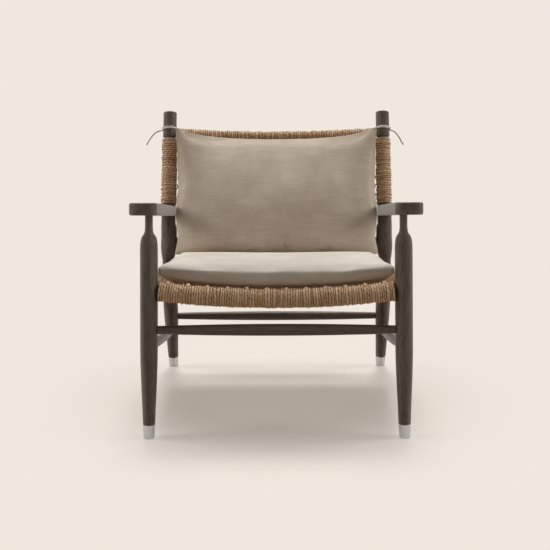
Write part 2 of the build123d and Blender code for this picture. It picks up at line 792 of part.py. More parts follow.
# Back cushion: its rear follows the bowed back, its foot stands on the seat cushion
back_cushion_top = up_from_bend(top_rail_height) - back_cushion_drop
back_cushion_half_width = foot_half_width - post_diameter / 2 - back_cushion_side_gap
seat_cushion_edge = seat_plane.from_local_coords(Vector(0, seat_cushion_rear_top, -seat_cushion_rear))
back_cushion_base = (seat_cushion_edge - post_bend).dot(up_back) + back_cushion_rise
with BuildPart() as back_cushion:
    for share in cushion_stations:
        x = share * back_cushion_half_width
        rear = -bow_fall(back_half, back_bow, x, lower_wrap_radius + soft_gap)
        edge = rear + back_cushion_edge
        slim = share**cushion_edge_power
        base = back_cushion_base - back_cushion_corner_sag * slim
        foot = rear + back_cushion_foot + (back_cushion_side_foot - back_cushion_foot) * slim
        low_bulge = back_cushion_low_bulge + (back_cushion_side_bulge - back_cushion_low_bulge) * slim
        high_bulge = back_cushion_high_bulge + (back_cushion_side_bulge - back_cushion_high_bulge) * slim
        top = back_cushion_top + back_cushion_corner_rise * abs(share) ** corner_rise_power
        with BuildSketch(Plane(origin=(x, post_bend.Y, post_bend.Z), x_dir=up_back, z_dir=across)):
            with BuildLine():
                Line((base, rear), (base, foot))
                Bezier(
                    (base, foot),
                    (base + back_cushion_low_pull, foot + low_bulge),
                    (top - back_cushion_high_pull, edge + high_bulge),
                    (top, edge),
                )
                Line((top, edge), (top, rear))
                Line((top, rear), (base, rear))
            make_face()
    loft()

# Tie of the back cushion: two turns of cord round a post and a knot behind its outer side
tie_middle = post_point(tie_height)
tie_inner = post_radius(tie_height - tie_band) + seat_gap
tie_outer = tie_inner + tie_diameter
behind_post = Vector(0, cos(recline), -sin(recline))
knot_way = across * cos(radians(knot_turn)) + behind_post * sin(radians(knot_turn))
knot_middle = tie_middle + knot_way * (tie_outer + knot_stand)
with BuildPart() as tie_loop:
    with BuildSketch(turning_plane(tie_middle, up_back)):
        with Locations(((tie_inner + tie_outer) / 2, 0)):
            RectangleRounded(tie_diameter, tie_band, tie_round)
    revolve(axis=Axis(tie_middle, up_back))
    with Locations(knot_middle):
        Sphere(tie_knot / 2)

# Loose tails of the ties, from the knot: out past the post, then drooping
tail_routes = {
    "left": [(15, -5.5, -1), (26, -10.5, -7.5), (35.5, -13.5, -18.5), (43.5, -15.5, -31), (50, -16.5, -42)],
    "right": [(13, -5, -2.5), (22, -9.5, -10), (29.5, -12.5, -21), (36, -14.5, -33), (42, -16, -43.5)],
}


# Radii of the tail's bends: as large as the two runs beside each one allow
def bend_radii(points):
    radii = []
    for before, point, after in zip(points, points[1:], points[2:]):
        arrive = point - before
        leave = after - point
        half_turn = radians(arrive.get_angle(leave)) / 2
        radii.append(tail_bend_share * min(arrive.length, leave.length) / tan(half_turn))
    return radii


# Tube of a tail along straight runs and the arcs between them, for the right post
def tail(side):
    steps = [Vector(*step) for step in tail_routes[side]]
    start = knot_middle + steps[0].normalized() * (tie_knot / 2 + soft_gap)
    points = [start] + [knot_middle + step for step in steps]
    radii = bend_radii(points)
    with BuildPart() as tube:
        with BuildLine() as path:
            FilletPolyline(*points, radius=radii)
        with BuildSketch(Plane(origin=path.wire() @ 0, z_dir=path.wire() % 0)):
            Circle(tie_diameter / 2)
        sweep()
    length = path.wire().length
    volume_share = tube.part.volume / (pi * tie_diameter**2 / 4 * length)
    print(side, "tail radii", [round(radius, 1) for radius in radii])
    print(side, "tail length", round(length, 1), "volume share", round(volume_share, 4))
    return tube.part


# Stretchers and side rails
front_stretcher = turned_rail(
    other_side(front_stretcher_start),
    front_stretcher_start,
    other_side(front_leg_up),
    front_leg_up,
    leg_radius,
    leg_radius,
    front_stretcher_end_diameter,
    front_stretcher_diameter,
)
rear_stretcher = turned_rail(
    other_side(rear_stretcher_start),
    rear_stretcher_start,
    rear_leg_up,
    rear_leg_up,
    post_leg_radius,
    post_leg_radius,
    rear_stretcher_end_diameter,
    rear_stretcher_diameter,
)
side_stretcher = turned_rail(
    side_stretcher_start,
    side_stretcher_end,
    front_leg_up,
    rear_leg_up,
    leg_radius,
    post_leg_radius,
    side_stretcher_end_diameter,
    side_stretcher_diameter,
)
side_rail = turned_rail(
    side_rail_start,
    side_rail_end,
    front_leg_up,
    rear_leg_up,
    leg_radius,
    post_leg_radius,
    side_rail_diameter,
    side_rail_diameter,
)
side_wrap = straight_binding(
    side_rail_start,
    side_rail_end,
    front_leg_up,
    rear_leg_up,
    leg_radius,
    post_leg_radius,
    side_rail_diameter / 2,
)

# Rails that bow, and their bindings
seat_front = (seat_plane, seat_half, seat_rail_dip, seat_rail_deep, seat_rail_tall)
seat_rear = (rear_rail_plane, seat_half, seat_rail_dip, seat_rail_deep, seat_rail_tall)
back_top = (top_rail_plane, back_half, back_bow, top_rail_diameter, top_rail_diameter)
back_lower = (lower_rail_plane, back_half, back_bow, lower_rail_diameter, lower_rail_diameter)
middle_parts = {
    "front_stretcher": front_stretcher,
    "rear_stretcher": rear_stretcher,
    "seat_front_rail": bowed_rail(*seat_front, seat_half, front_rail_axis_x),
    "seat_rear_rail": bowed_rail(*seat_rear, rear_rail_limit, foot_half_width),
    "back_top_rail": bowed_rail(*back_top, back_half, foot_half_width),
    "back_lower_rail": bowed_rail(*back_lower, back_half, foot_half_width),
    "seat_front_binding": bowed_binding(*seat_front, seat_half),
    "seat_rear_binding": bowed_binding(*seat_rear, rear_rail_limit),
    "back_top_binding": bowed_binding(*back_top, back_half),
    "back_lower_binding": bowed_binding(*back_lower, back_half),
    "seat_warp_cords": seat_warps,
    "seat_weft_cords": seat_wefts,
    "back_warp_cords": back_warps,
    "back_weft_cords": back_wefts,
    "seat_cushion": seat_cushion.part,
    "back_cushion": back_cushion.part,
}
right_parts = {
    "front_leg": front_leg.part,
    "rear_post": rear_post.part,
    "arm": arm.part,
    "front_ferrule": ferrule(front_leg_point(0), front_leg_up),
    "rear_ferrule": ferrule(post_foot, rear_leg_up),
    "front_glide": glide(front_leg_point(0)),
    "rear_glide": glide(post_foot),
    "side_stretcher": side_stretcher,
    "seat_side_rail": side_rail,
    "seat_side_binding": side_wrap,
    "post_binding": post_wrap.part,
    "tie_loop": tie_loop.part,
}


# Labels a finished piece and writes its file
def write(part, name):
    part.label = name
    export_step(part, f"parts/{name}.step")


for name, part in middle_parts.items():
    write(part, name)
for name, part in right_parts.items():
    write(part, f"{name}_right")
    with BuildPart() as left:
        mirror(part, about=Plane.YZ)
    write(left.part, f"{name}_left")
write(tail("right"), "tie_tail_right")
with BuildPart() as left_tail:
    mirror(tail("left"), about=Plane.YZ)
write(left_tail.part, "tie_tail_left")
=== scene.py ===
import math

import bpy
import numpy as np
from mathutils import Matrix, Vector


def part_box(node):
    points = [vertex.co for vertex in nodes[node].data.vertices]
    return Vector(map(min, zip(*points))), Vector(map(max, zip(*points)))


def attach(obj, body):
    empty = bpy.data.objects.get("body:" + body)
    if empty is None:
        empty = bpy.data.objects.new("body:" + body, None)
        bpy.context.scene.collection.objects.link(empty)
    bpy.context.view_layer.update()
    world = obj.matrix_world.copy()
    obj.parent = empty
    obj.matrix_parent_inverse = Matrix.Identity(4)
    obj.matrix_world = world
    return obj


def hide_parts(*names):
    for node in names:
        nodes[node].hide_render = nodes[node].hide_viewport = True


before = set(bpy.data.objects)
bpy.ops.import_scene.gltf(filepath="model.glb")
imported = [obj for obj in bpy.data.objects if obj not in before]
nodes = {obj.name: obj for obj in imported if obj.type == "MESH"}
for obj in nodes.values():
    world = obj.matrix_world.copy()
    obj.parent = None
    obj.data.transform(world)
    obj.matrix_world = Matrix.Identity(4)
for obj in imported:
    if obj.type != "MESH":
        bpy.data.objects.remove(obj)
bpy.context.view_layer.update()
rng = np.random.default_rng(11)
mm = 0.001
bothSides = ((-1, "left"), (1, "right"))
print("frame:", len(nodes), "nodes")

# lines of the frame that the cord and the cushions follow, metres and radians
glideLow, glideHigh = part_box("front_glide_right")
footX, frontY = ((np.array(glideLow) + np.array(glideHigh)) / 2)[:2]
legLine = {"lean": 12.5 / 554.1}  # inwards, run over rise
seatLine = {
    "slope": math.radians(8.8),
    "railZ": 0.369,
    "length": 0.5208,
    "half": 0.2851,
    "dip": 0.0173,
}
backLine = {
    "bendY": 0.495,  # behind the front legs
    "bendZ": 0.366,
    "lean": math.atan2(133, 402),
    "half": 0.28910,
    "bow": 0.036,
}
cord = {"wide": 5.5 * mm}

across = np.array([1.0, 0.0, 0.0])
seatBack = np.array([0.0, math.cos(seatLine["slope"]), -math.sin(seatLine["slope"])])
seatUp = np.array([0.0, math.sin(seatLine["slope"]), math.cos(seatLine["slope"])])
backUp = np.array([0.0, math.sin(backLine["lean"]), math.cos(backLine["lean"])])
backFront = np.array([0.0, -math.cos(backLine["lean"]), math.sin(backLine["lean"])])
seatOrigin = np.array([0.0, frontY, seatLine["railZ"]])
backOrigin = np.array([0.0, frontY + backLine["bendY"], backLine["bendZ"]])


def upBack(height):  # distance up the reclined back, from the bend of the posts, of a height
    return (height - backLine["bendZ"]) / math.cos(backLine["lean"])


def postBend(side):
    return np.array([side * footX, backOrigin[1], backOrigin[2]])


def mirrored(point, side):
    return point * np.array([side, 1, 1])


# inputs of a node, each a link or a value
def setInputs(tree, node, inputs):
    for key, value in inputs.items():
        if isinstance(value, bpy.types.NodeSocket):
            tree.links.new(value, node.inputs[key])
        else:
            node.inputs[key].default_value = value


# one node with its settings and inputs
def addNode(tree, kind, inputs=None, **settings):
    made = tree.nodes.new("ShaderNode" + kind)
    for name, value in settings.items():
        setattr(made, name, value)
    setInputs(tree, made, inputs or {})
    return made


def calc(tree, operation, *values):
    return addNode(tree, "Math", dict(enumerate(values)), operation=operation).outputs[0]


def ranged(tree, value, span, onto=(0.0, 1.0), kind="LINEAR"):  # carries a span onto another
    ends = dict(zip(("From Min", "From Max", "To Min", "To Max"), (*span, *onto)))
    made = addNode(tree, "MapRange", {"Value": value, **ends}, interpolation_type=kind)
    return made.outputs["Result"]


def mapped(tree, vector, **changes):
    return addNode(tree, "Mapping", {"Vector": vector, **changes}).outputs["Vector"]


def noise(tree, vector, scale, detail, roughness=0.5):
    values = {"Vector": vector, "Scale": scale, "Detail": detail, "Roughness": roughness}
    return addNode(tree, "TexNoise", values).outputs["Fac"]


def bumped(tree, height, strength, distance, **settings):
    values = {"Height": height, "Strength": strength, "Distance": distance}
    return addNode(tree, "Bump", values, **settings).outputs["Normal"]


def waveScale(period):  # a wave texture of scale 1 has a period of pi / 10
    return 0.05 / period * math.pi * 2


def linear(hexColour):  # sRGB hex to linear RGBA
    srgb = np.array([int(hexColour[i:i + 2], 16) for i in (1, 3, 5)]) / 255
    rgb = np.where(srgb <= 0.04045, srgb / 12.92, ((srgb + 0.055) / 1.055) ** 2.4)
    return (*rgb, 1.0)


def newMaterial(name):
    material = bpy.data.materials.new(name)
    material.use_nodes = True
    tree = material.node_tree
    return material, tree, tree.nodes["Principled BSDF"]


def ramp(tree, factor, stops):  # colour ramp with (place, hex) stops
    made = addNode(tree, "ValToRGB", {"Fac": factor})
    while len(made.color_ramp.elements) < len(stops):
        made.color_ramp.elements.new(0.5)
    for element, (place, colour) in zip(made.color_ramp.elements, stops):
        element.position = place
        element.color = linear(colour)
    return made.outputs["Color"]


# camera at the photograph's place
cameraSet = {
    "sensor": 36,
    "focalPixels": 987.95,
    "photoPixels": 550,
    "pitch": 8.955,  # degrees down
    "roll": -0.18,
    "turn": 0.09,
    "distance": 2.6283,
    "height": 0.90836,
    "axisPixel": (276.39, 220.0),  # photo pixel on the lens axis
}


def makeCamera(c):
    data = bpy.data.cameras.new("camera")
    data.sensor_width = c["sensor"]
    data.lens = c["sensor"] * c["focalPixels"] / c["photoPixels"]
    data.shift_x = 0.5 - c["axisPixel"][0] / c["photoPixels"]
    data.shift_y = c["axisPixel"][1] / c["photoPixels"] - 0.5
    made = bpy.data.objects.new("camera", data)
    bpy.context.scene.collection.objects.link(made)
    turn = Matrix.Rotation(math.radians(c["turn"]), 4, "Z")
    stand = Matrix.Translation((0, -c["distance"], c["height"]))
    tilt = Matrix.Rotation(math.radians(90 - c["pitch"]), 4, "X")
    made.matrix_world = turn @ stand @ tilt @ Matrix.Rotation(math.radians(c["roll"]), 4, "Z")
    bpy.context.scene.camera = made


makeCamera(cameraSet)
print("camera placed")


# faces of a grid closed round its columns, with the corners of its unrolled map
def gridFaces(rows, columns):
    i, j = np.meshgrid(np.arange(rows - 1), np.arange(columns), indexing="ij")
    i, j = i.ravel(), j.ravel()
    k = (j + 1) % columns
    low, high = i * columns, (i + 1) * columns
    faces = np.stack([low + j, low + k, high + k, high + j], 1)
    low, high = i * (columns + 1) + j, (i + 1) * (columns + 1) + j
    flat = np.stack([low, low + 1, high + 1, high], 1)
    return faces, flat


# object from points, quads and end caps, turned outwards; uv has one pair for each quad corner
def meshObject(name, points, quads, caps=None, uv=None, material=None):
    a, b, c, d = (points[quads[:, n]] for n in range(4))
    outward = np.sum(a * np.cross(b, c)) + np.sum(a * np.cross(c, d))
    if outward < 0:
        quads = quads[:, ::-1]
        uv = None if uv is None else uv[:, ::-1]
        caps = None if caps is None else caps[:, ::-1]
    loops = quads.ravel()
    starts = np.arange(len(quads)) * 4
    if caps is not None:
        starts = np.concatenate([starts, len(loops) + np.arange(len(caps)) * caps.shape[1]])
        loops = np.concatenate([loops, caps.ravel()])
    mesh = bpy.data.meshes.new(name)
    mesh.vertices.add(len(points))
    mesh.vertices.foreach_set("co", np.asarray(points, np.float32).ravel())
    mesh.loops.add(len(loops))
    mesh.loops.foreach_set("vertex_index", loops.astype(np.int32))
    mesh.polygons.add(len(starts))
    mesh.polygons.foreach_set("loop_start", starts.astype(np.int32))
    mesh.polygons.foreach_set("use_smooth", np.arange(len(starts)) < len(quads))
    if uv is not None:
        flat = np.zeros((len(loops), 2), np.float32)
        flat[:quads.size] = uv.reshape(-1, 2)
        mesh.uv_layers.new(name="UVMap").data.foreach_set("uv", flat.ravel())
    mesh.update()
    mesh.validate()
    made = bpy.data.objects.new(name, mesh)
    bpy.context.scene.collection.objects.link(made)
    if material:
        mesh.materials.append(material)
    return made


def piece(made, slot, body, *stoodFor):  # rides on a body and stands for CAD nodes
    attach(made, body)
    if stoodFor:
        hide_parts(*stoodFor)
    return made


# cords: a circle carried along each of several paths at once; paths is strands by steps by 3
# point = path + radius * (side * cos(turn) + lift * sin(turn)), side square to the path and to up
def cordTubes(name, paths, radius, up, material, sides=8):
    strands, steps, _ = paths.shape
    along = np.gradient(paths, axis=1)
    along /= np.linalg.norm(along, axis=2, keepdims=True)
    side = np.cross(along, up)
    side /= np.linalg.norm(side, axis=2, keepdims=True)
    lift = np.cross(side, along)
    turn = (np.arange(sides) * 2 * np.pi / sides)[:, None]
    wheel = np.cos(turn) * side[:, :, None] + np.sin(turn) * lift[:, :, None]
    points = paths[:, :, None] + radius * wheel
    runs = np.linalg.norm(np.diff(paths, axis=1), axis=2)
    travel = np.concatenate([np.zeros((strands, 1)), np.cumsum(runs, axis=1)], 1)
    faces, flat = gridFaces(steps, sides)
    first = (np.arange(strands) * steps * sides)[:, None, None]
    quads = (faces[None] + first).reshape(-1, 4)
    share = np.arange(sides + 1) / sides
    uv = np.empty((strands, steps, sides + 1, 2))
    uv[..., 0] = travel[:, :, None] + rng.random(strands)[:, None, None]
    uv[..., 1] = np.arange(strands)[:, None, None] + 0.25 + 0.5 * share  # mostly clear of the painted groove shade
    uv = uv.reshape(strands, -1, 2)[:, flat].reshape(-1, 4, 2)
    ring = np.arange(sides)
    caps = np.concatenate([first[:, 0] + ring[::-1], first[:, 0] + (steps - 1) * sides + ring])
    return meshObject(name, points.reshape(-1, 3), quads, caps, uv, material)


# sleeve of cord wound turn beside turn on an oval core
# radius = core + half a cord * (1 + sqrt(1 - (2p - 1)^2)), p running from 0 to 1 across each turn
woundCord = {
    "profile": (0.0, 0.07, 0.24, 0.5, 0.76, 0.93),
    "sway": 1.1 * mm,
    "uneven": 0.3,
    "sides": 40,
    "pitch": 6.1 * mm,
}


def woundSleeve(name, line, length, deep, tall, material):
    w = woundCord
    turns = round(length / w["pitch"])
    profile = np.array(w["profile"])
    p = np.concatenate([np.tile(profile, turns), [1.0]])
    turnNumber = np.concatenate([np.repeat(np.arange(turns), len(profile)), [turns - 1]])
    place = (turnNumber + p) * length / turns
    theta = np.arange(w["sides"]) * 2 * np.pi / w["sides"]
    sway = rng.normal(0, w["sway"], (2, turns + 1))
    sway[:, [0, -1]] = 0
    swayAt = sway[:, turnNumber] * (1 - p) + sway[:, turnNumber + 1] * p
    shift = swayAt[0][:, None] * np.cos(theta) + swayAt[1][:, None] * np.sin(theta)
    bulk = 1 + rng.normal(0, w["uneven"], turns)[turnNumber]
    half = cord["wide"] / 2
    height = half * (1 + np.sqrt(np.clip(1 - (2 * p - 1) ** 2, 0, 1)) * bulk)
    centre, alongLine, deepAxis, tallAxis = line(place)
    points = (
        centre[:, None]
        + alongLine[:, None] * shift[..., None]
        + deepAxis[:, None] * ((deep + height)[:, None] * np.cos(theta))[..., None]
        + tallAxis[:, None] * ((tall + height)[:, None] * np.sin(theta))[..., None]
    )
    faces, flat = gridFaces(len(place), w["sides"])
    girth = np.arange(w["sides"] + 1) * 2 * np.pi / w["sides"] * np.mean(deep + tall) / 2
    uv = np.empty((len(place), w["sides"] + 1, 2))
    uv[..., 0] = girth + rng.random(turns)[turnNumber][:, None]
    uv[..., 1] = (turnNumber + 0.998 * p)[:, None]  # stays short of the next turn's number
    ring = np.arange(w["sides"])
    caps = np.stack([ring[::-1], (len(place) - 1) * w["sides"] + ring])
    return meshObject(name, points.reshape(-1, 3), faces, caps, uv.reshape(-1, 2)[flat], material)


# a bow: arc through both ends of a rail, falling by bow in the middle
def bowRadius(half, bow):
    return (half * half + bow * bow) / (2 * bow)


def bowedLine(origin, fall, half, bow, length):  # fall is the way that the bow goes
    radius = bowRadius(half, bow)
    flatAxis = np.cross(across, fall)

    def line(place):
        turn = ((place - length / 2) / radius)[:, None]
        drop = radius * np.cos(turn) - radius + bow
        centre = origin + across * radius * np.sin(turn) + fall * drop
        alongLine = across * np.cos(turn) - fall * np.sin(turn)
        radial = across * np.sin(turn) + fall * np.cos(turn)
        return centre, alongLine, np.broadcast_to(flatAxis, centre.shape), radial

    return line


def straightLine(start, end, up):
    way = (end - start) / np.linalg.norm(end - start)
    side = np.cross(way, up) / np.linalg.norm(np.cross(way, up))

    def line(place):
        axes = (np.broadcast_to(axis, (len(place), 3)) for axis in (way, side, np.cross(side, way)))
        return start + way * place[:, None], *axes

    return line


# paper cord: kraft paper twisted into a hard round string, natural brown and matt
# colour differs from strand to strand, and the twist shows as slanting lines, drawn at 8 mm
paperSet = {
    "dark": "#8C6844",
    "middle": "#DAB086",
    "light": "#F8E5CD",
    "twist": 8 * mm,
    "fibre": 1.3 * mm,
    "fibreScale": 0.22,
    "fibreAcross": 0.004,
    "least": 0.05,  # tone of the darkest strand, before the shares of
    "strandShare": 0.3,  # the strand,
    "streakShare": 0.75,  # its fibres
    "twistShare": 0.1,  # and its twist
    "grooveShade": 0.6,  # painted shade, darker where two turns meet
    "grooveShadeFrom": 0.22,
    "relief": 0.5 * mm,
    "roughness": 0.72,
    "shine": 0.3,
}


def paperCord(name, s):
    material, tree, shader = newMaterial(name)
    uv = addNode(tree, "UVMap", uv_map="UVMap").outputs["UV"]
    along, aside, _ = addNode(tree, "SeparateXYZ", {"Vector": uv}).outputs
    strand, share = calc(tree, "FLOOR", aside), calc(tree, "FRACT", aside)
    tone = addNode(tree, "TexWhiteNoise", {"W": strand}, noise_dimensions="1D").outputs["Value"]
    slant = calc(tree, "MULTIPLY_ADD", along, 1 / s["twist"], share)
    twist = calc(tree, "SINE", calc(tree, "MULTIPLY", slant, 2 * math.pi))
    fibre = calc(tree, "MULTIPLY_ADD", share, s["fibreAcross"], strand)
    spot = addNode(tree, "CombineXYZ", {"X": along, "Y": fibre}).outputs[0]
    streak = noise(tree, spot, s["fibreScale"] / s["fibre"], 3.0)
    mixed = calc(tree, "MULTIPLY_ADD", tone, s["strandShare"], s["least"])
    mixed = calc(tree, "MULTIPLY_ADD", streak, s["streakShare"], mixed)
    mixed = calc(tree, "MULTIPLY_ADD", twist, s["twistShare"], mixed)
    # painted shade: colour darkens towards the edges of each turn or strand, where two turns meet
    offMiddle = calc(tree, "ABSOLUTE", calc(tree, "SUBTRACT", share, 0.5))
    grooveShade = ranged(tree, offMiddle, (s["grooveShadeFrom"], 0.5), (0.0, s["grooveShade"]))
    mixed = calc(tree, "SUBTRACT", mixed, grooveShade)
    setInputs(tree, shader, {
        "Base Color": ramp(tree, mixed, [(0.0, s["dark"]), (0.4, s["middle"]), (0.9, s["light"])]),
        "Normal": bumped(tree, twist, 0.6, s["relief"]),
        "Roughness": s["roughness"],
        "Specular IOR Level": s["shine"],
    })
    return material


paper = paperCord("paper cord, twisted kraft", paperSet)

# bindings of the rails: cores, and how far their ends stand from the middle
railSet = {
    "seatDeep": 14.0 * mm,
    "seatTall": 18.5 * mm,
    "seatFrontReach": 283.2 * mm,
    "seatRearReach": 291.2 * mm,
    "topRailZ": 0.705,
    "topCore": 11.5 * mm,
    "topReach": 285.0 * mm,
    "lowerRailZ": 0.405,
    "lowerCore": 14.5 * mm,
    "lowerReach": 284.0 * mm,
    "sideCore": 16.5 * mm,
    "sideLift": 10.0 * mm,
    "sideIn": 25.2 * mm,  # side bindings start this far from the axes of the legs
    "wrapLowZ": 0.5050,
    "wrapHighZ": 0.691,
    "wrapLowCore": 17.5 * mm,
    "wrapHighCore": 16.9 * mm,
    "seatWeave": 17.0 * mm,  # middle of the weave above the axes of the seat rails
}


def seatRailEnds(lift):  # axis points of the right side rail at the front and rear legs
    rise = seatUp * lift
    front = np.array([footX - legLine["lean"] * seatLine["railZ"], *seatOrigin[1:]]) + rise
    rear = np.array([footX, *(seatOrigin + seatBack * seatLine["length"] + rise)[1:]])
    return front, rear


def bindRails(r):
    def bind(name, line, length, deep, tall):
        made = woundSleeve(name + "_cord", line, length, deep, tall, paper)
        piece(made, "paper_cord", "frame", name)

    def bindBowed(name, origin, fall, half, bow, reach, deep, tall):
        radius = bowRadius(half, bow)
        length = 2 * radius * math.asin(reach / radius)
        bind(name, bowedLine(origin, fall, half, bow, length), length, deep, tall)

    for name, back, reach in (
        ("seat_front_binding", 0.0, r["seatFrontReach"]),
        ("seat_rear_binding", seatLine["length"], r["seatRearReach"]),
    ):
        origin, bow = seatOrigin + seatBack * back, (seatLine["half"], seatLine["dip"])
        bindBowed(name, origin, -seatUp, *bow, reach, r["seatDeep"], r["seatTall"])
    for name, height, core, reach in (
        ("back_top_binding", r["topRailZ"], r["topCore"], r["topReach"]),
        ("back_lower_binding", r["lowerRailZ"], r["lowerCore"], r["lowerReach"]),
    ):
        origin, bow = backOrigin + backUp * upBack(height), (backLine["half"], backLine["bow"])
        bindBowed(name, origin, -backFront, *bow, reach, core, core)
    front, rear = seatRailEnds(r["sideLift"])
    inset = (rear - front) / np.linalg.norm(rear - front) * r["sideIn"]
    for side, word in bothSides:
        start, end = mirrored(front + inset, side), mirrored(rear - inset, side)
        line, length = straightLine(start, end, seatUp), np.linalg.norm(end - start)
        bind("seat_side_binding_" + word, line, length, r["sideCore"], r["sideCore"])
        start, end = (postBend(side) + backUp * upBack(r[key]) for key in ("wrapLowZ", "wrapHighZ"))
        line, length = straightLine(start, end, across), np.linalg.norm(end - start)
        rows = len(woundCord["profile"]) * round(length / woundCord["pitch"]) + 1
        core = np.linspace(r["wrapLowCore"], r["wrapHighCore"], rows)
        bind("post_binding_" + word, line, length, core, core)
    print("rails bound")


# weave: pairs of cords, each over one and under the next
# lift of a cord = height * smooth square wave of its travel, the wefts against the warps
weaveSet = {
    "pairGap": 5.6 * mm,
    "weftLift": 3.3 * mm,
    "warpLift": 2.2 * mm,
    "crest": 1.45,  # above 1 the crests of the wave are flat
    "warps": 12,
    "warpEdge": 22 * mm,
    "weftMargin": 27 * mm,
    "weftPitch": 25 * mm,
    "weftInto": 2 * mm,  # ends of the wefts go this far into the bindings
    "weftPast": 16 * mm,  # or past the last warp, below the bound part of the posts
    "wrapClear": 11 * mm,
    "stray": 0.5 * mm,
    "bend": (52, 128),  # degrees round a seat rail that the warps lie on
    "bendSteps": 12,
    "proud": 0.14,  # share of a cord that they stand above its binding
    "dive": 5 * mm,  # and then go into it
    "drawn": 0.25,  # the pairs draw together over the seat rails
    "steps": 6,  # path points from one crossing to the next
}


def squareWave(x):  # cosine with flattened crests
    return np.sin(np.clip(weaveSet["crest"] * np.cos(np.pi * x), -1, 1) * np.pi / 2)


def weftPlaces(length):
    w = weaveSet
    count = round((length - 2 * w["weftMargin"]) / w["weftPitch"])
    return np.linspace(w["weftMargin"], length - w["weftMargin"], count + 1)


# cords of a weave on a bowed sheet: origin at the rail where the warps start, run to the other rail
# overRail is the oval that the warps bend over at both rails, or None where they stop between them
def weave(name, origin, run, fall, half, bow, level, length, warpSpan, weftReach, overRail):
    w = weaveSet
    radius = bowRadius(half, bow)
    edge = math.asin((half - w["warpEdge"]) / radius)
    angles = np.linspace(-edge, edge, w["warps"])
    places = weftPlaces(length)

    def sheet(turn, travel, lift):  # point at an angle of the bow, a travel along it and a lift
        reach = radius - level - lift
        return (
            origin
            + across * (reach * np.sin(turn))[..., None]
            + fall * (reach * np.cos(turn) - radius + bow)[..., None]
            + run * travel[..., None]
        )

    pair = np.array([-0.5, 0.5]) * w["pairGap"]
    step = places[1] - places[0]
    travel = np.linspace(*warpSpan, int((warpSpan[1] - warpSpan[0]) / step * w["steps"]))
    column = np.repeat(np.arange(w["warps"]), 2)
    lift = -w["warpLift"] * squareWave((travel - places[0]) / step + column[:, None])
    near = np.minimum(travel - warpSpan[0], warpSpan[1] - travel)
    lift = lift * np.clip(near / step, 0, 1)
    draw = np.ones(len(travel))
    if overRail is not None:
        count = w["bendSteps"]
        bend = np.radians(np.linspace(*w["bend"], count))
        deep, tall = overRail[:, None] - np.linspace(0, 1, count) ** 6 * w["dive"]
        beyond, above = -deep * np.cos(bend), tall * np.sin(bend) - level
        travel = np.concatenate([-beyond[::-1], travel, length + beyond])
        ends = np.broadcast_to(above, (len(column), count))
        lift = np.concatenate([ends[:, ::-1], lift, ends], 1)
        drawn = np.linspace(1, w["drawn"], count)
        draw = np.concatenate([drawn[::-1], draw, drawn])
    turn = angles[column][:, None] + np.tile(pair, w["warps"])[:, None] / radius * draw
    turn = turn + rng.normal(0, w["stray"] / radius, (len(turn), 1))
    paths = sheet(turn, travel + 0 * turn, lift)
    warps = cordTubes(name + "_warp_cords_strands", paths, cord["wide"] / 2, across, paper)
    row = np.repeat(np.arange(len(places)), 2)
    end = np.repeat(np.array([weftReach(p) for p in places]), 2) / radius
    turn = end[:, None] * np.linspace(-1, 1, w["warps"] * w["steps"] + 1)
    spacing = angles[1] - angles[0]
    lift = w["weftLift"] * squareWave((turn - angles[0]) / spacing + row[:, None])
    inside = np.clip((edge + spacing / 2 - np.abs(turn)) / (spacing / 2), 0, 1)
    place = np.repeat(places, 2) + np.tile(pair, len(places))
    place = place[:, None] + rng.normal(0, w["stray"], (len(place), 1)) + 0 * turn
    paths = sheet(turn, place, lift * inside)
    wefts = cordTubes(name + "_weft_cords_strands", paths, cord["wide"] / 2, run, paper)
    piece(warps, "paper_cord", "frame", name + "_warp_cords")
    piece(wefts, "paper_cord", "frame", name + "_weft_cords")


def weaveSeatAndBack(r):
    w = weaveSet
    front, rear = seatRailEnds(0)
    oval = np.array([r["seatDeep"], r["seatTall"]]) + cord["wide"]
    aboveSide = r["seatWeave"] - r["sideLift"]
    flank = math.sqrt((r["sideCore"] + cord["wide"]) ** 2 - aboveSide**2)

    def seatReach(place):
        share = place / seatLine["length"]
        return rear[0] + (front[0] - rear[0]) * share - flank + w["weftInto"]

    start = oval[0] * math.sqrt(1 - (r["seatWeave"] / oval[1]) ** 2) + cord["wide"] / 2
    weave(
        "seat",
        seatOrigin + seatBack * seatLine["length"],
        -seatBack,
        -seatUp,
        seatLine["half"],
        seatLine["dip"],
        r["seatWeave"],
        seatLine["length"],
        (start, seatLine["length"] - start),
        seatReach,
        oval + w["proud"] * cord["wide"],
    )
    top, low = upBack(r["topRailZ"]), upBack(r["lowerRailZ"])
    wrapEnd = top - upBack(r["wrapLowZ"]) - w["wrapClear"]

    def backReach(place):
        if place < wrapEnd:
            return footX - r["wrapLowCore"] - cord["wide"] + w["weftInto"]
        return backLine["half"] - w["warpEdge"] + w["weftPast"]

    weave(
        "back",
        backOrigin + backUp * top,
        -backUp,
        -backFront,
        backLine["half"],
        backLine["bow"],
        0.0,
        top - low,
        (r["topCore"], top - low - r["lowerCore"]),
        backReach,
        None,
    )
    print("seat and back woven")


bindRails(railSet)
weaveSeatAndBack(railSet)

# stained ash: open-pored, turned and sanded, dark grey-brown stain under a matt oil
# fine darker pores run along the length, with broader streaks of the stain
ashSet = {
    "dark": "#564C42",
    "middle": "#695E52",
    "light": "#7E7366",
    "pore": "#403830",
    "streak": 14 * mm,
    "poreWidth": 1.6 * mm,
    "poreEdge": (0.56, 0.68),  # noise from no pore to a pore
    "poreDepth": 0.3 * mm,
    "stretch": 0.045,
    "roughness": 0.34,
    "shine": 0.26,
    "bloom": 0.4,  # the oil is paler at glancing angles
    "bloomRoughness": 0.4,
}


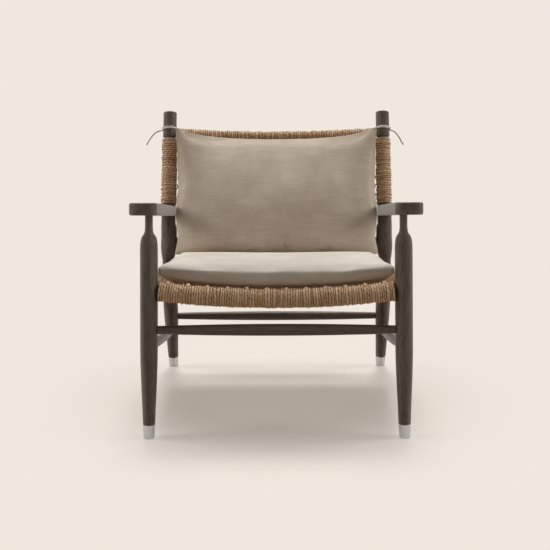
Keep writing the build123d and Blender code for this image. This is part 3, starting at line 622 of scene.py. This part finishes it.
def stainedAsh(name, s, turn):  # turn brings the grain onto Z
    material, tree, shader = newMaterial(name)
    coords = addNode(tree, "TexCoord").outputs["Object"]
    long = mapped(tree, mapped(tree, coords, Rotation=turn), Scale=(1, 1, s["stretch"]))
    streak = noise(tree, long, 1 / s["streak"], 5.0, 0.6)
    pores = ranged(tree, noise(tree, long, 1 / s["poreWidth"], 2.0), s["poreEdge"])
    base = ramp(tree, streak, [(0.3, s["dark"]), (0.52, s["middle"]), (0.75, s["light"])])
    layers = {"Factor": pores, "A": base, "B": linear(s["pore"])}
    mixed = addNode(tree, "Mix", layers, data_type="RGBA")
    evenness = (s["roughness"] - 0.06, s["roughness"] + 0.1)
    setInputs(tree, shader, {
        "Base Color": next(o for o in mixed.outputs if o.type == "RGBA"),
        "Roughness": ranged(tree, streak, (0.0, 1.0), evenness),
        "Normal": bumped(tree, pores, 0.35, s["poreDepth"], invert=True),
        "Specular IOR Level": s["shine"],
        "Sheen Weight": s["bloom"],
        "Sheen Roughness": s["bloomRoughness"],
    })
    return material


# satin steel: turned and brushed round the foot, pale, with faint rings
steelSet = {"colour": "#C6C8C8", "ring": 0.9 * mm, "relief": 0.1 * mm, "roughness": 0.32}


def satinSteel(name, s):
    material, tree, shader = newMaterial(name)
    coords = addNode(tree, "TexCoord").outputs["Object"]
    rings = noise(tree, mapped(tree, coords, Scale=(0.03, 0.03, 1)), 1 / s["ring"], 3.0)
    evenness = (s["roughness"] - 0.08, s["roughness"] + 0.1)
    setInputs(tree, shader, {
        "Base Color": linear(s["colour"]),
        "Metallic": 1.0,
        "Roughness": ranged(tree, rings, (0.0, 1.0), evenness),
        "Normal": bumped(tree, rings, 0.15, s["relief"]),
    })
    return material


# nylon: moulded, matt, with a fine sparkle of grain
nylonSet = {
    "colour": "#9A968F",
    "shade": "#7F7B75",
    "grain": 0.8 * mm,
    "relief": 0.1 * mm,
    "roughness": 0.55,
}


def mouldedNylon(name, s):
    material, tree, shader = newMaterial(name)
    grain = noise(tree, addNode(tree, "TexCoord").outputs["Object"], 1 / s["grain"], 2.0)
    setInputs(tree, shader, {
        "Base Color": ramp(tree, grain, [(0.3, s["shade"]), (0.7, s["colour"])]),
        "Normal": bumped(tree, grain, 0.2, s["relief"]),
        "Roughness": s["roughness"],
    })
    return material


def dressNodes():
    quarter, lean = math.pi / 2, backLine["lean"]
    upright = stainedAsh("stained ash, turned, upright grain", ashSet, (0, 0, 0))
    post = stainedAsh("stained ash, bent post grain", ashSet, (lean / 2, 0, 0))
    deepWise = stainedAsh("stained ash, front to back grain", ashSet, (quarter, 0, 0))
    crossWise = stainedAsh("stained ash, crosswise grain", ashSet, (0, quarter, 0))
    steel = satinSteel("satin steel, turned", steelSet)
    nylon = mouldedNylon("nylon, moulded", nylonSet)
    kinds = (
        (upright, ("front_leg",)),
        (post, ("rear_post",)),
        (deepWise, ("arm", "side_stretcher", "seat_side_rail")),
        (crossWise, ("front_stretcher", "rear_stretcher", "seat_front_rail", "seat_rear_rail")),
        (crossWise, ("back_top_rail", "back_lower_rail")),
        (steel, ("front_ferrule", "rear_ferrule")),
        (nylon, ("front_glide", "rear_glide")),
    )
    for material, starts in kinds:
        for name in nodes:
            if name.startswith(starts):
                nodes[name].data.materials.clear()
                nodes[name].data.materials.append(material)
    print("wood, steel and nylon dressed")


dressNodes()

# linen: plain weave of slubby flax yarns, washed and matt
# thicker yarns show as long crosswise streaks; the weave is drawn at 2.2 mm so that it shows
linenSet = {
    "shade": "#D4C9BB",
    "base": "#DDD4C9",
    "slub": "#E5DDD2",
    "thread": 2.2 * mm,
    "slubLength": 70 * mm,
    "slubWidth": 3.4 * mm,
    "slubDepth": 125 * mm,
    "cloud": 14.0,  # patches to the metre
    "slubShare": 1.3,
    "cloudShare": 0.35,
    "yarnShare": 0.04,
    "relief": 0.4 * mm,
    "roughness": 0.9,
    "shine": 0.2,
    "fuzz": 0.15,
    "fuzzRoughness": 0.5,
}
# the same cloth in warmer, darker colours: painted warm shade and bounce light on the back cushion
shadedBackLinen = {**linenSet, "shade": "#CBBBAA", "base": "#D6C7B6", "slub": "#E1D5C6"}


def slubLinen(name, s, tilt):  # tilt lays the cloth's own up on Z
    material, tree, shader = newMaterial(name)
    laid = mapped(tree, addNode(tree, "TexCoord").outputs["Object"], Rotation=(tilt, 0, 0))
    size = (1 / s["slubLength"], 1 / s["slubDepth"], 1 / s["slubWidth"])
    slub = noise(tree, mapped(tree, laid, Scale=size), 1.0, 3.0)
    cloud = noise(tree, laid, s["cloud"], 4.0)
    threads = {"Vector": laid, "Scale": waveScale(s["thread"]), "Distortion": 1.2, "Detail": 2.0}
    weft, warp = (
        addNode(tree, "TexWave", threads, bands_direction=way).outputs["Fac"] for way in "ZX"
    )
    yarns = calc(tree, "ADD", weft, warp)
    tone = calc(tree, "MULTIPLY", slub, cloud)  # slubs come in patches
    tone = calc(tree, "MULTIPLY", tone, s["slubShare"])
    tone = calc(tree, "MULTIPLY_ADD", cloud, s["cloudShare"], tone)
    tone = calc(tree, "MULTIPLY_ADD", yarns, s["yarnShare"], tone)
    height = calc(tree, "MULTIPLY_ADD", slub, 2.0, yarns)
    setInputs(tree, shader, {
        "Base Color": ramp(tree, tone, [(0.34, s["shade"]), (0.55, s["base"]), (0.8, s["slub"])]),
        "Normal": bumped(tree, height, 0.25, s["relief"]),
        "Roughness": s["roughness"],
        "Specular IOR Level": s["shine"],
        "Sheen Weight": s["fuzz"],
        "Sheen Roughness": s["fuzzRoughness"],
    })
    return material


# copy of a soft solid, as an even net of small quads with its edges eased
padSet = {"net": 6 * mm, "ease": 8, "slack": 3 * mm}


def softCopy(name, node, s, material):
    made = bpy.data.objects.new(name, nodes[node].data.copy())
    bpy.context.scene.collection.objects.link(made)
    net = made.modifiers.new("net", "REMESH")
    net.mode = "VOXEL"
    net.voxel_size = s["net"]
    ease = made.modifiers.new("ease", "SMOOTH")
    ease.factor = 0.5
    ease.iterations = s["ease"]
    eased = made.evaluated_get(bpy.context.evaluated_depsgraph_get())
    mesh = bpy.data.meshes.new_from_object(eased)
    made.modifiers.clear()
    made.data = mesh
    mesh.name = name
    mesh.materials.clear()
    mesh.materials.append(material)
    mesh.polygons.foreach_set("use_smooth", np.ones(len(mesh.polygons), bool))
    return made


def pointsOf(mesh):
    points = np.empty(len(mesh.vertices) * 3, np.float32)
    mesh.vertices.foreach_get("co", points)
    return points.reshape(-1, 3).astype(float)


def setPoints(made, points):
    made.data.vertices.foreach_set("co", np.asarray(points, np.float32).ravel())
    made.data.update()


# cloth under slight pressure, starting a little slack, no point moving further than cap
clothSet = {"frames": 20, "quality": 6, "mass": 0.25, "stretch": 18, "shear": 6, "bend": 0.4}


def inflate(made, pressure, cap, slack):
    s = clothSet
    normals = np.empty(len(made.data.vertices) * 3, np.float32)
    made.data.vertices.foreach_get("normal", normals)
    rest = pointsOf(made.data) - slack * normals.reshape(-1, 3)
    setPoints(made, rest)
    cloth = made.modifiers.new("cloth", "CLOTH")
    c = cloth.settings
    c.quality = s["quality"]
    c.mass = s["mass"]
    c.tension_stiffness = c.compression_stiffness = s["stretch"]
    c.shear_stiffness = s["shear"]
    c.bending_stiffness = s["bend"]
    c.use_pressure = True
    c.uniform_pressure_force = pressure
    c.effector_weights.gravity = 0
    cloth.collision_settings.use_collision = False
    cloth.point_cache.frame_start, cloth.point_cache.frame_end = 1, s["frames"]
    scene = bpy.context.scene
    for number in range(1, s["frames"] + 1):
        scene.frame_set(number)
    swollen = made.evaluated_get(bpy.context.evaluated_depsgraph_get()).to_mesh()
    moved = pointsOf(swollen) - rest
    made.modifiers.remove(cloth)
    scene.frame_set(1)
    far = np.linalg.norm(moved, axis=1, keepdims=True)
    most = round(float(far.max()) / mm, 1)
    print(made.name, len(rest), "points, cloth moved", most, "mm at most")
    return rest + moved * np.minimum(1, cap / np.maximum(far, 1e-9))


def filled(made, s):
    return inflate(made, s["pressure"], s["cap"], padSet["slack"])


# stretch along one axis so that the points reach from low to high again
def stretchTo(points, origin, axis, low, high):
    along = (points - origin) @ axis
    share = (along - along.min()) / (along.max() - along.min())
    return points + axis * (low + share * (high - low) - along)[:, None]


# the furthest point along a way is drawn to a place, and the cloth round it goes along,
# by exp(-(distance / reach)^2)
def drawTo(points, way, place, reach):
    corner = points[np.argmax(points @ way)]
    away = np.linalg.norm(points - corner, axis=1)
    return points + (place - corner) * np.exp(-((away / reach) ** 2))[:, None]


# seam: points near a line are drawn onto it, by strength * exp(-(distance / reach)^2)
def pinch(points, seam, reach, strength):
    away = np.empty(len(points))
    nearest = np.empty_like(points)
    for block in np.array_split(np.arange(len(points)), 24):
        gaps = np.linalg.norm(points[block, None] - seam[None], axis=2)
        best = gaps.argmin(1)
        away[block] = gaps[np.arange(len(block)), best]
        nearest[block] = seam[best]
    pull = strength * np.exp(-((away / reach) ** 2))
    return points + (nearest - points) * pull[:, None]


def clamped(x):  # kept from 0 to 1
    return np.clip(x, 0, 1)


def soften(made):
    smooth = made.modifiers.new("subdivision", "SUBSURF")
    smooth.levels = smooth.render_levels = 1


# seat cushion: x across, d back along the slope, h up from the axes of the rails
seatPad = {
    "half": 282.6 * mm,
    "front": -2 * mm,
    "rear": 486 * mm,
    "under": 24.5 * mm,  # its base above the arc of the rails
    "round": 1.5 * mm,  # the last rounding takes this off its ends
    "sink": 12 * mm,  # the back cushion presses its crown down towards the rear
    "fullSides": 9 * mm,  # its filling stands higher at the sides
    "fullCorners": 5 * mm,  # and more so at the front corners
    "fullHeight": 40 * mm,
    "cornerIn": 12 * mm,  # middle of the front corners, from the rail
    "cornerUp": 17 * mm,  # and from the base
    "cornerReach": 30 * mm,
    "seamIn": 2 * mm,  # seam along the front, behind the foremost point
    "seamSet": 10 * mm,  # further in at the ends
    "seamUp": 46 * mm,
    "seamRise": 11 * mm,
    "seamShare": 0.82,  # it runs out before the corners
    "seamReach": 20 * mm,
    "seamPull": 0.6,
    "ripple": 1.2 * mm,
    "tuck": 4 * mm,  # the lower front edge turns up
    "endTuck": 11 * mm,  # more at the ends
    "tuckReach": 25 * mm,
    "endReach": 35 * mm,
    "roll": 8 * mm,  # and under
    "rollHeight": 18 * mm,
    "rollReach": 30 * mm,
    "pressure": 3.0,
    "cap": 9 * mm,
}


def seatFloor(x, s):  # base of the seat cushion: an arc inside the arc of the rails
    radius = bowRadius(seatLine["half"], seatLine["dip"])
    return radius - seatLine["dip"] - np.sqrt((radius - s["under"]) ** 2 - x * x)


def seatPoints(x, d, h):
    return seatOrigin + across * x[..., None] + seatBack * d[..., None] + seatUp * h[..., None]


def seatSeam(s):
    share = np.linspace(-s["seamShare"], s["seamShare"], 220)
    ripple = s["ripple"] * (np.sin(share * 9 + 0.6) + 0.5 * np.sin(share * 21))
    back = s["front"] + s["seamIn"] + s["seamSet"] * share**4
    return seatPoints(share * s["half"], back, s["seamUp"] + s["seamRise"] * share**2 + ripple)


def makeSeatPad(s, material):
    made = softCopy("seat_cushion_linen", "seat_cushion", padSet, material)
    points = filled(made, s)
    half, end = s["half"], s["half"] + s["round"]
    points = stretchTo(points, seatOrigin, across, -end, end)
    points = stretchTo(points, seatOrigin, seatBack, s["front"], s["rear"])
    share, back = points[:, 0] / half, (points - seatOrigin) @ seatBack / s["rear"]
    points = points - seatUp * (s["sink"] * clamped(1 - share**2) * clamped(back))[:, None]
    above = (points - seatOrigin) @ seatUp - seatFloor(np.clip(points[:, 0], -half, half), s)
    full = s["fullSides"] + s["fullCorners"] * clamped(1 - 3 * back)
    full = full * clamped(above / s["fullHeight"]) * clamped(np.abs(share)) ** 4
    points = points + seatUp * full[:, None]
    for side in (-1, 1):
        up = seatFloor(half, s) + s["cornerUp"]
        place = np.array([side * (half + 2 * s["round"]), s["cornerIn"], up])
        way = side * across - 0.8 * seatBack - 0.3 * seatUp
        points = drawTo(points, way, seatPoints(*place), s["cornerReach"])
    points = pinch(points, seatSeam(s), s["seamReach"], s["seamPull"])
    d, h = (points - seatOrigin) @ seatBack, (points - seatOrigin) @ seatUp
    x = np.clip(points[:, 0], -half, half)
    floor, ends = seatFloor(x, s), (x / half) ** 2
    reach = s["tuckReach"] + s["endReach"] * ends
    tuck = (s["tuck"] + s["endTuck"] * ends) * clamped(1 - d / reach)
    roll = clamped(1 - (h - floor) / s["rollHeight"]) ** 2 * clamped(1 - d / s["rollReach"])
    points = points + seatBack * (s["roll"] * roll)[:, None]
    setPoints(made, points + seatUp * np.maximum(floor + tuck - h, 0)[:, None])
    soften(made)
    piece(made, "linen", "seat_cushion", "seat_cushion")


# back cushion: x across, u up the back from the bend of the posts, f forward of the posts' axes
backPad = {
    "half": 290 * mm,
    "sides": (  # how far its sides go out or in, in mm, at heights u
        (-10, 0), (15, -2), (45, -5), (80, 0), (110, 2.5), (135, 1.5),
        (165, -2), (195, -3.5), (225, -2), (265, 1), (345, 1),
    ),
    "low": -2.3 * mm,
    "settle": 12 * mm,  # the middle of its foot goes down with the seat cushion
    "settleReach": 150 * mm,
    "cornerSag": 4 * mm,
    "cornerReach": 30 * mm,
    "top": 347 * mm,
    "cornerRise": 20 * mm,
    "edge": 7 * mm,  # seam ahead of the cushion's rear
    "seamReach": 24 * mm,
    "seamPull": 0.65,
    "ear": (297 * mm, 372 * mm),  # the ties draw the upper corners out towards here
    "earReach": 42 * mm,
    "slim": 0.32,  # share of its thickness lost towards the sides
    "lean": 0.26,  # and towards the top
    "inside": 20.5 * mm,  # its rear inside the arc of the back
    "pressure": 3.0,
    "cap": 10 * mm,
}


def backFloor(x, s):  # rear of the back cushion: an arc inside the arc of the back rails
    radius = bowRadius(backLine["half"], backLine["bow"])
    return radius - backLine["bow"] - np.sqrt((radius - s["inside"]) ** 2 - x * x)


def backPoints(x, u, f):
    return backOrigin + across * x[..., None] + backUp * u[..., None] + backFront * f[..., None]


def sideOffset(u, s):
    place, offset = np.array(s["sides"]).T * mm
    return np.interp(u, place, offset)


# seam of the back cushion: up one side, along the top and down the other side
def backSeam(s):
    low, high = s["low"] - s["cornerSag"], s["top"] + s["cornerRise"]
    rise = np.linspace(low, high, 150)
    share = np.linspace(-1, 1, 240)[1:-1]
    side = s["half"] + sideOffset(rise, s)
    x = np.concatenate([-side, share * s["half"], side[::-1]])
    u = np.concatenate([rise, s["top"] + s["cornerRise"] * np.abs(share) ** 3, rise[::-1]])
    f = backFloor(np.clip(x, -s["half"], s["half"]), s) + s["edge"]
    return backPoints(x, u, f)


def makeBackPad(s, material):
    made = softCopy("back_cushion_linen", "back_cushion", padSet, material)
    points = filled(made, s)
    half, low, high = s["half"], s["low"] - s["cornerSag"], s["top"] + s["cornerRise"]
    points = stretchTo(points, backOrigin, across, -half, half)
    points = stretchTo(points, backOrigin, backUp, low, high)
    x = np.clip(points[:, 0], -half, half)
    share, floor = x / half, backFloor(x, s)
    u, f = (points - backOrigin) @ backUp, (points - backOrigin) @ backFront
    foot = s["settle"] * (1 - share**2) * clamped(1 - (u - low) / s["settleReach"])
    points = points - backUp * foot[:, None]
    points = points + across * (np.sign(x) * sideOffset(u, s) * np.abs(share) ** 6)[:, None]
    rise = clamped((u - low) / (high - low))
    thin = s["slim"] * share**2 + s["lean"] * rise**2
    points = points + backFront * (floor - f + np.maximum(f - floor, 0) * (1 - thin))[:, None]
    points = pinch(points, backSeam(s), s["seamReach"], s["seamPull"])
    rear = backFloor(half, s)
    for side in (-1, 1):
        ear = np.array([side * s["ear"][0], s["ear"][1], rear + s["edge"]])
        foot = np.array([side * half, low, rear + 2 * s["edge"]])
        points = drawTo(points, side * across + backUp, backPoints(*ear), s["earReach"])
        points = drawTo(points, side * across - backUp, backPoints(*foot), s["cornerReach"])
    f = (points - backOrigin) @ backFront
    floor = backFloor(np.clip(points[:, 0], -half, half), s)
    setPoints(made, points + backFront * np.maximum(floor - f, 0)[:, None])
    soften(made)
    piece(made, "linen", "back_cushion", "back_cushion")


seatTilt = math.pi / 2 + seatLine["slope"]
makeSeatPad(seatPad, slubLinen("linen, slub weave, seat", linenSet, seatTilt))
# the back cushion's linen carries painted warm shade
makeBackPad(backPad, slubLinen("linen, slub weave, back, painted warm shade", shadedBackLinen, backLine["lean"]))
print("cushions filled")

# ties: thin cotton cord, almost one turn and a half round each post, an overhand knot and a
# loose tail
tieSet = {
    "wide": 4.2 * mm,
    "height": 0.720,
    "loopRadius": 22.1 * mm,
    "loopTurn": (112, -400),  # degrees, from the ear round the post to the knot
    "band": 4.4 * mm,
    "ear": (291 * mm, 367 * mm, 27 * mm),  # where it leaves the back cushion
    "knotScale": 1.1 * mm,
    "knotPull": 0.8,  # share of its thickness left in the knot
    "knotMiddle": (335.30 * mm, 628.30 * mm, 714.65 * mm),  # y from the line of the front legs
    "tailStart": 5.0 * mm,
}
tailRoutes = {  # mm from the knot, outwards, back and up
    "left": [
        (15, -5.5, -1), (26, -10.5, -7.5), (35.5, -13.5, -18.5),
        (43.5, -15.5, -31), (50, -16.5, -42),
    ],
    "right": [
        (13, -5, -2.5), (22, -9.5, -10), (29.5, -12.5, -21),
        (36, -14.5, -33), (42, -16, -43.5),
    ],
}

# cotton: soft twisted cord, pale grey, matt, the twist drawn at 5 mm so that it shows
cottonSet = {
    "shade": "#DEDAD2",
    "light": "#F4F1EB",
    "twist": 5 * mm,
    "lay": (0.5, 0.7, 0.3),
    "relief": 0.4 * mm,
    "roughness": 0.85,
    "fuzz": 0.8,
}


def cottonCord(name, s):
    material, tree, shader = newMaterial(name)
    slant = mapped(tree, addNode(tree, "TexCoord").outputs["Object"], Rotation=s["lay"])
    wave = {"Vector": slant, "Scale": waveScale(s["twist"]), "Distortion": 0.6}
    twist = addNode(tree, "TexWave", wave).outputs["Fac"]
    setInputs(tree, shader, {
        "Base Color": ramp(tree, twist, [(0.1, s["shade"]), (0.8, s["light"])]),
        "Normal": bumped(tree, twist, 0.5, s["relief"]),
        "Roughness": s["roughness"],
        "Sheen Weight": s["fuzz"],
    })
    return material


# overhand knot: the trefoil curve
def trefoil(t):
    return (
        across * (np.sin(t) + 2 * np.sin(2 * t))
        + backFront * (np.cos(t) - 2 * np.cos(2 * t))
        - backUp * np.sin(3 * t)
    )


def tailCurve(name, route, wide, material):
    curve = bpy.data.curves.new(name, "CURVE")
    curve.dimensions = "3D"
    curve.bevel_depth = wide / 2
    curve.bevel_resolution = 4
    curve.use_fill_caps = True
    spline = curve.splines.new("NURBS")
    spline.points.add(len(route) - 1)
    spline.points.foreach_set("co", np.column_stack([route, np.ones(len(route))]).ravel())
    spline.order_u = 3
    spline.use_endpoint_u = True
    spline.resolution_u = 12
    curve.materials.append(material)
    made = bpy.data.objects.new(name, curve)
    bpy.context.scene.collection.objects.link(made)
    return made


def makeTies(s, material):
    radius = s["wide"] / 2
    for side, word in bothSides:
        post = postBend(side) + backUp * upBack(s["height"])
        knot = mirrored(np.array(s["knotMiddle"]) + np.array([0, frontY, 0]), side)
        turn = np.radians(np.linspace(*s["loopTurn"], 129))[:, None]
        outward = across * side * np.cos(turn) + backFront * np.sin(turn)
        fall = np.linspace(1, -1, 129)[:, None] * s["band"] / 2
        loop = post + outward * s["loopRadius"] + backUp * fall
        ear = backPoints(*mirrored(np.array(s["ear"]), side))
        lead = ear + (loop[0] - ear) * np.linspace(0, 1, 9)[:-1, None]
        path = np.concatenate([lead, loop])
        made = cordTubes("tie_turns_" + word, path[None], radius, backUp, material, 10)
        piece(made, "tie_cord", "frame", "tie_loop_" + word)
        path = knot + trefoil(np.linspace(0, 2 * np.pi, 73)[:, None]) * s["knotScale"]
        offPlane = np.array([0.3, 0.2, 0.9])
        thin = radius * s["knotPull"]
        made = cordTubes("tie_knot_" + word, path[None], thin, offPlane, material, 10)
        piece(made, "tie_cord", "frame")
        steps = mirrored(np.array(tailRoutes[word]) * mm, side)
        start = knot + steps[0] / np.linalg.norm(steps[0]) * s["tailStart"]
        route = np.concatenate([start[None], knot + steps])
        tail = tailCurve("tie_tail_cord_" + word, route, s["wide"], material)
        piece(tail, "tie_cord", "frame", "tie_tail_" + word)
    print("ties knotted")


makeTies(tieSet, cottonCord("cotton cord, twisted", cottonSet))

# stage: pale floor that fades to the same plain colour, an overhead key a little behind, panels at
# both sides that lean over into an arch of soft light from side to side
stageSet = {
    "paper": "#EFE8DE",
    "bounce": "#9E9387",  # what the object gets back from the floor
    "glow": 0.12,  # share of the floor that is plain colour close to the object
    "fade": (0.2, 0.74),  # metres from the middle, from there to all plain
    "floorHalf": 40.0,
    "keyShare": 0.52,  # of the light on the floor
    "keyHeight": 67.0,  # degrees above the floor
    "keySize": 24.0,
    "sky": 0.05,
    "sides": 6.4,
    "sideEdge": (0.1, 0.36),  # the panels end between these, front and rear
    "lowSides": 0.35,  # share of the panels' light near the floor
    "lowEdge": 0.3,
    "arch": 0.12,
    "archEdge": (0.45, 0.8),  # heights from the panels to the arch
    "fill": "#FFFCF8",
}


def plainRays(tree):  # 1 for what the camera sees straight, in metal or through glass
    rays = addNode(tree, "LightPath").outputs
    both = calc(tree, "MAXIMUM", rays["Is Camera Ray"], rays["Is Glossy Ray"])
    return calc(tree, "MAXIMUM", both, rays["Is Transmission Ray"])


def mixShaders(tree, share, first, second):
    inputs = {0: share, 1: first.outputs[0], 2: second.outputs[0]}
    return addNode(tree, "MixShader", inputs)


def makeStage(s):
    corners = np.array([[x, y, 0.0] for x in (-1, 1) for y in (-1, 1)]) * s["floorHalf"]
    floor = meshObject("floor", corners, np.array([[0, 2, 3, 1]]))
    material, tree, shader = newMaterial("studio paper, matt")
    coords = addNode(tree, "TexCoord").outputs["Object"]
    far = addNode(tree, "VectorMath", {0: coords}, operation="LENGTH").outputs["Value"]
    fade = ranged(tree, far, s["fade"], (s["glow"], 1.0), "SMOOTHSTEP")
    colour = linear(s["paper"])
    setInputs(tree, shader, {"Base Color": colour, "Roughness": 1.0, "Specular IOR Level": 0.0})
    glow = addNode(tree, "Emission", {"Color": colour, "Strength": 1.0})
    dim = addNode(tree, "BsdfDiffuse", {"Color": linear(s["bounce"])})
    seen = mixShaders(tree, fade, shader, glow)
    mix = mixShaders(tree, plainRays(tree), dim, seen)
    setInputs(tree, tree.nodes["Material Output"], {"Surface": mix.outputs[0]})
    floor.data.materials.append(material)

    key = bpy.data.lights.new("key", "SUN")
    key.angle = math.radians(s["keySize"])
    key.energy = math.pi * s["keyShare"] / math.sin(math.radians(s["keyHeight"]))
    lamp = bpy.data.objects.new("key", key)
    lamp.rotation_euler = (math.radians(s["keyHeight"] - 90), 0, 0)
    bpy.context.scene.collection.objects.link(lamp)

    world = bpy.data.worlds.new("studio")
    bpy.context.scene.world = world
    world.use_nodes = True
    tree = world.node_tree
    tree.nodes.clear()
    way = addNode(tree, "TexCoord").outputs["Generated"]
    _, deep, high = addNode(tree, "SeparateXYZ", {"Vector": way}).outputs
    band = ranged(tree, calc(tree, "ABSOLUTE", deep), s["sideEdge"], (1.0, 0.0), "SMOOTHSTEP")
    rise = ranged(tree, high, (0.0, s["lowEdge"]), (s["lowSides"], 1.0), "SMOOTHSTEP")
    strength = (s["arch"] + s["sides"], s["arch"])
    panels = calc(tree, "MULTIPLY", rise, ranged(tree, high, s["archEdge"], strength, "SMOOTHSTEP"))
    soft = calc(tree, "MULTIPLY_ADD", band, panels, s["sky"])
    light = addNode(tree, "Background", {"Color": linear(s["fill"]), "Strength": soft})
    plain = addNode(tree, "Background", {"Color": colour, "Strength": 1.0})
    mix = mixShaders(tree, plainRays(tree), light, plain)
    out = addNode(tree, "OutputWorld", {"Surface": mix.outputs[0]})
    out.is_active_output = True


makeStage(stageSet)
bpy.context.scene.view_settings.view_transform = "Standard"
print("stage lit")
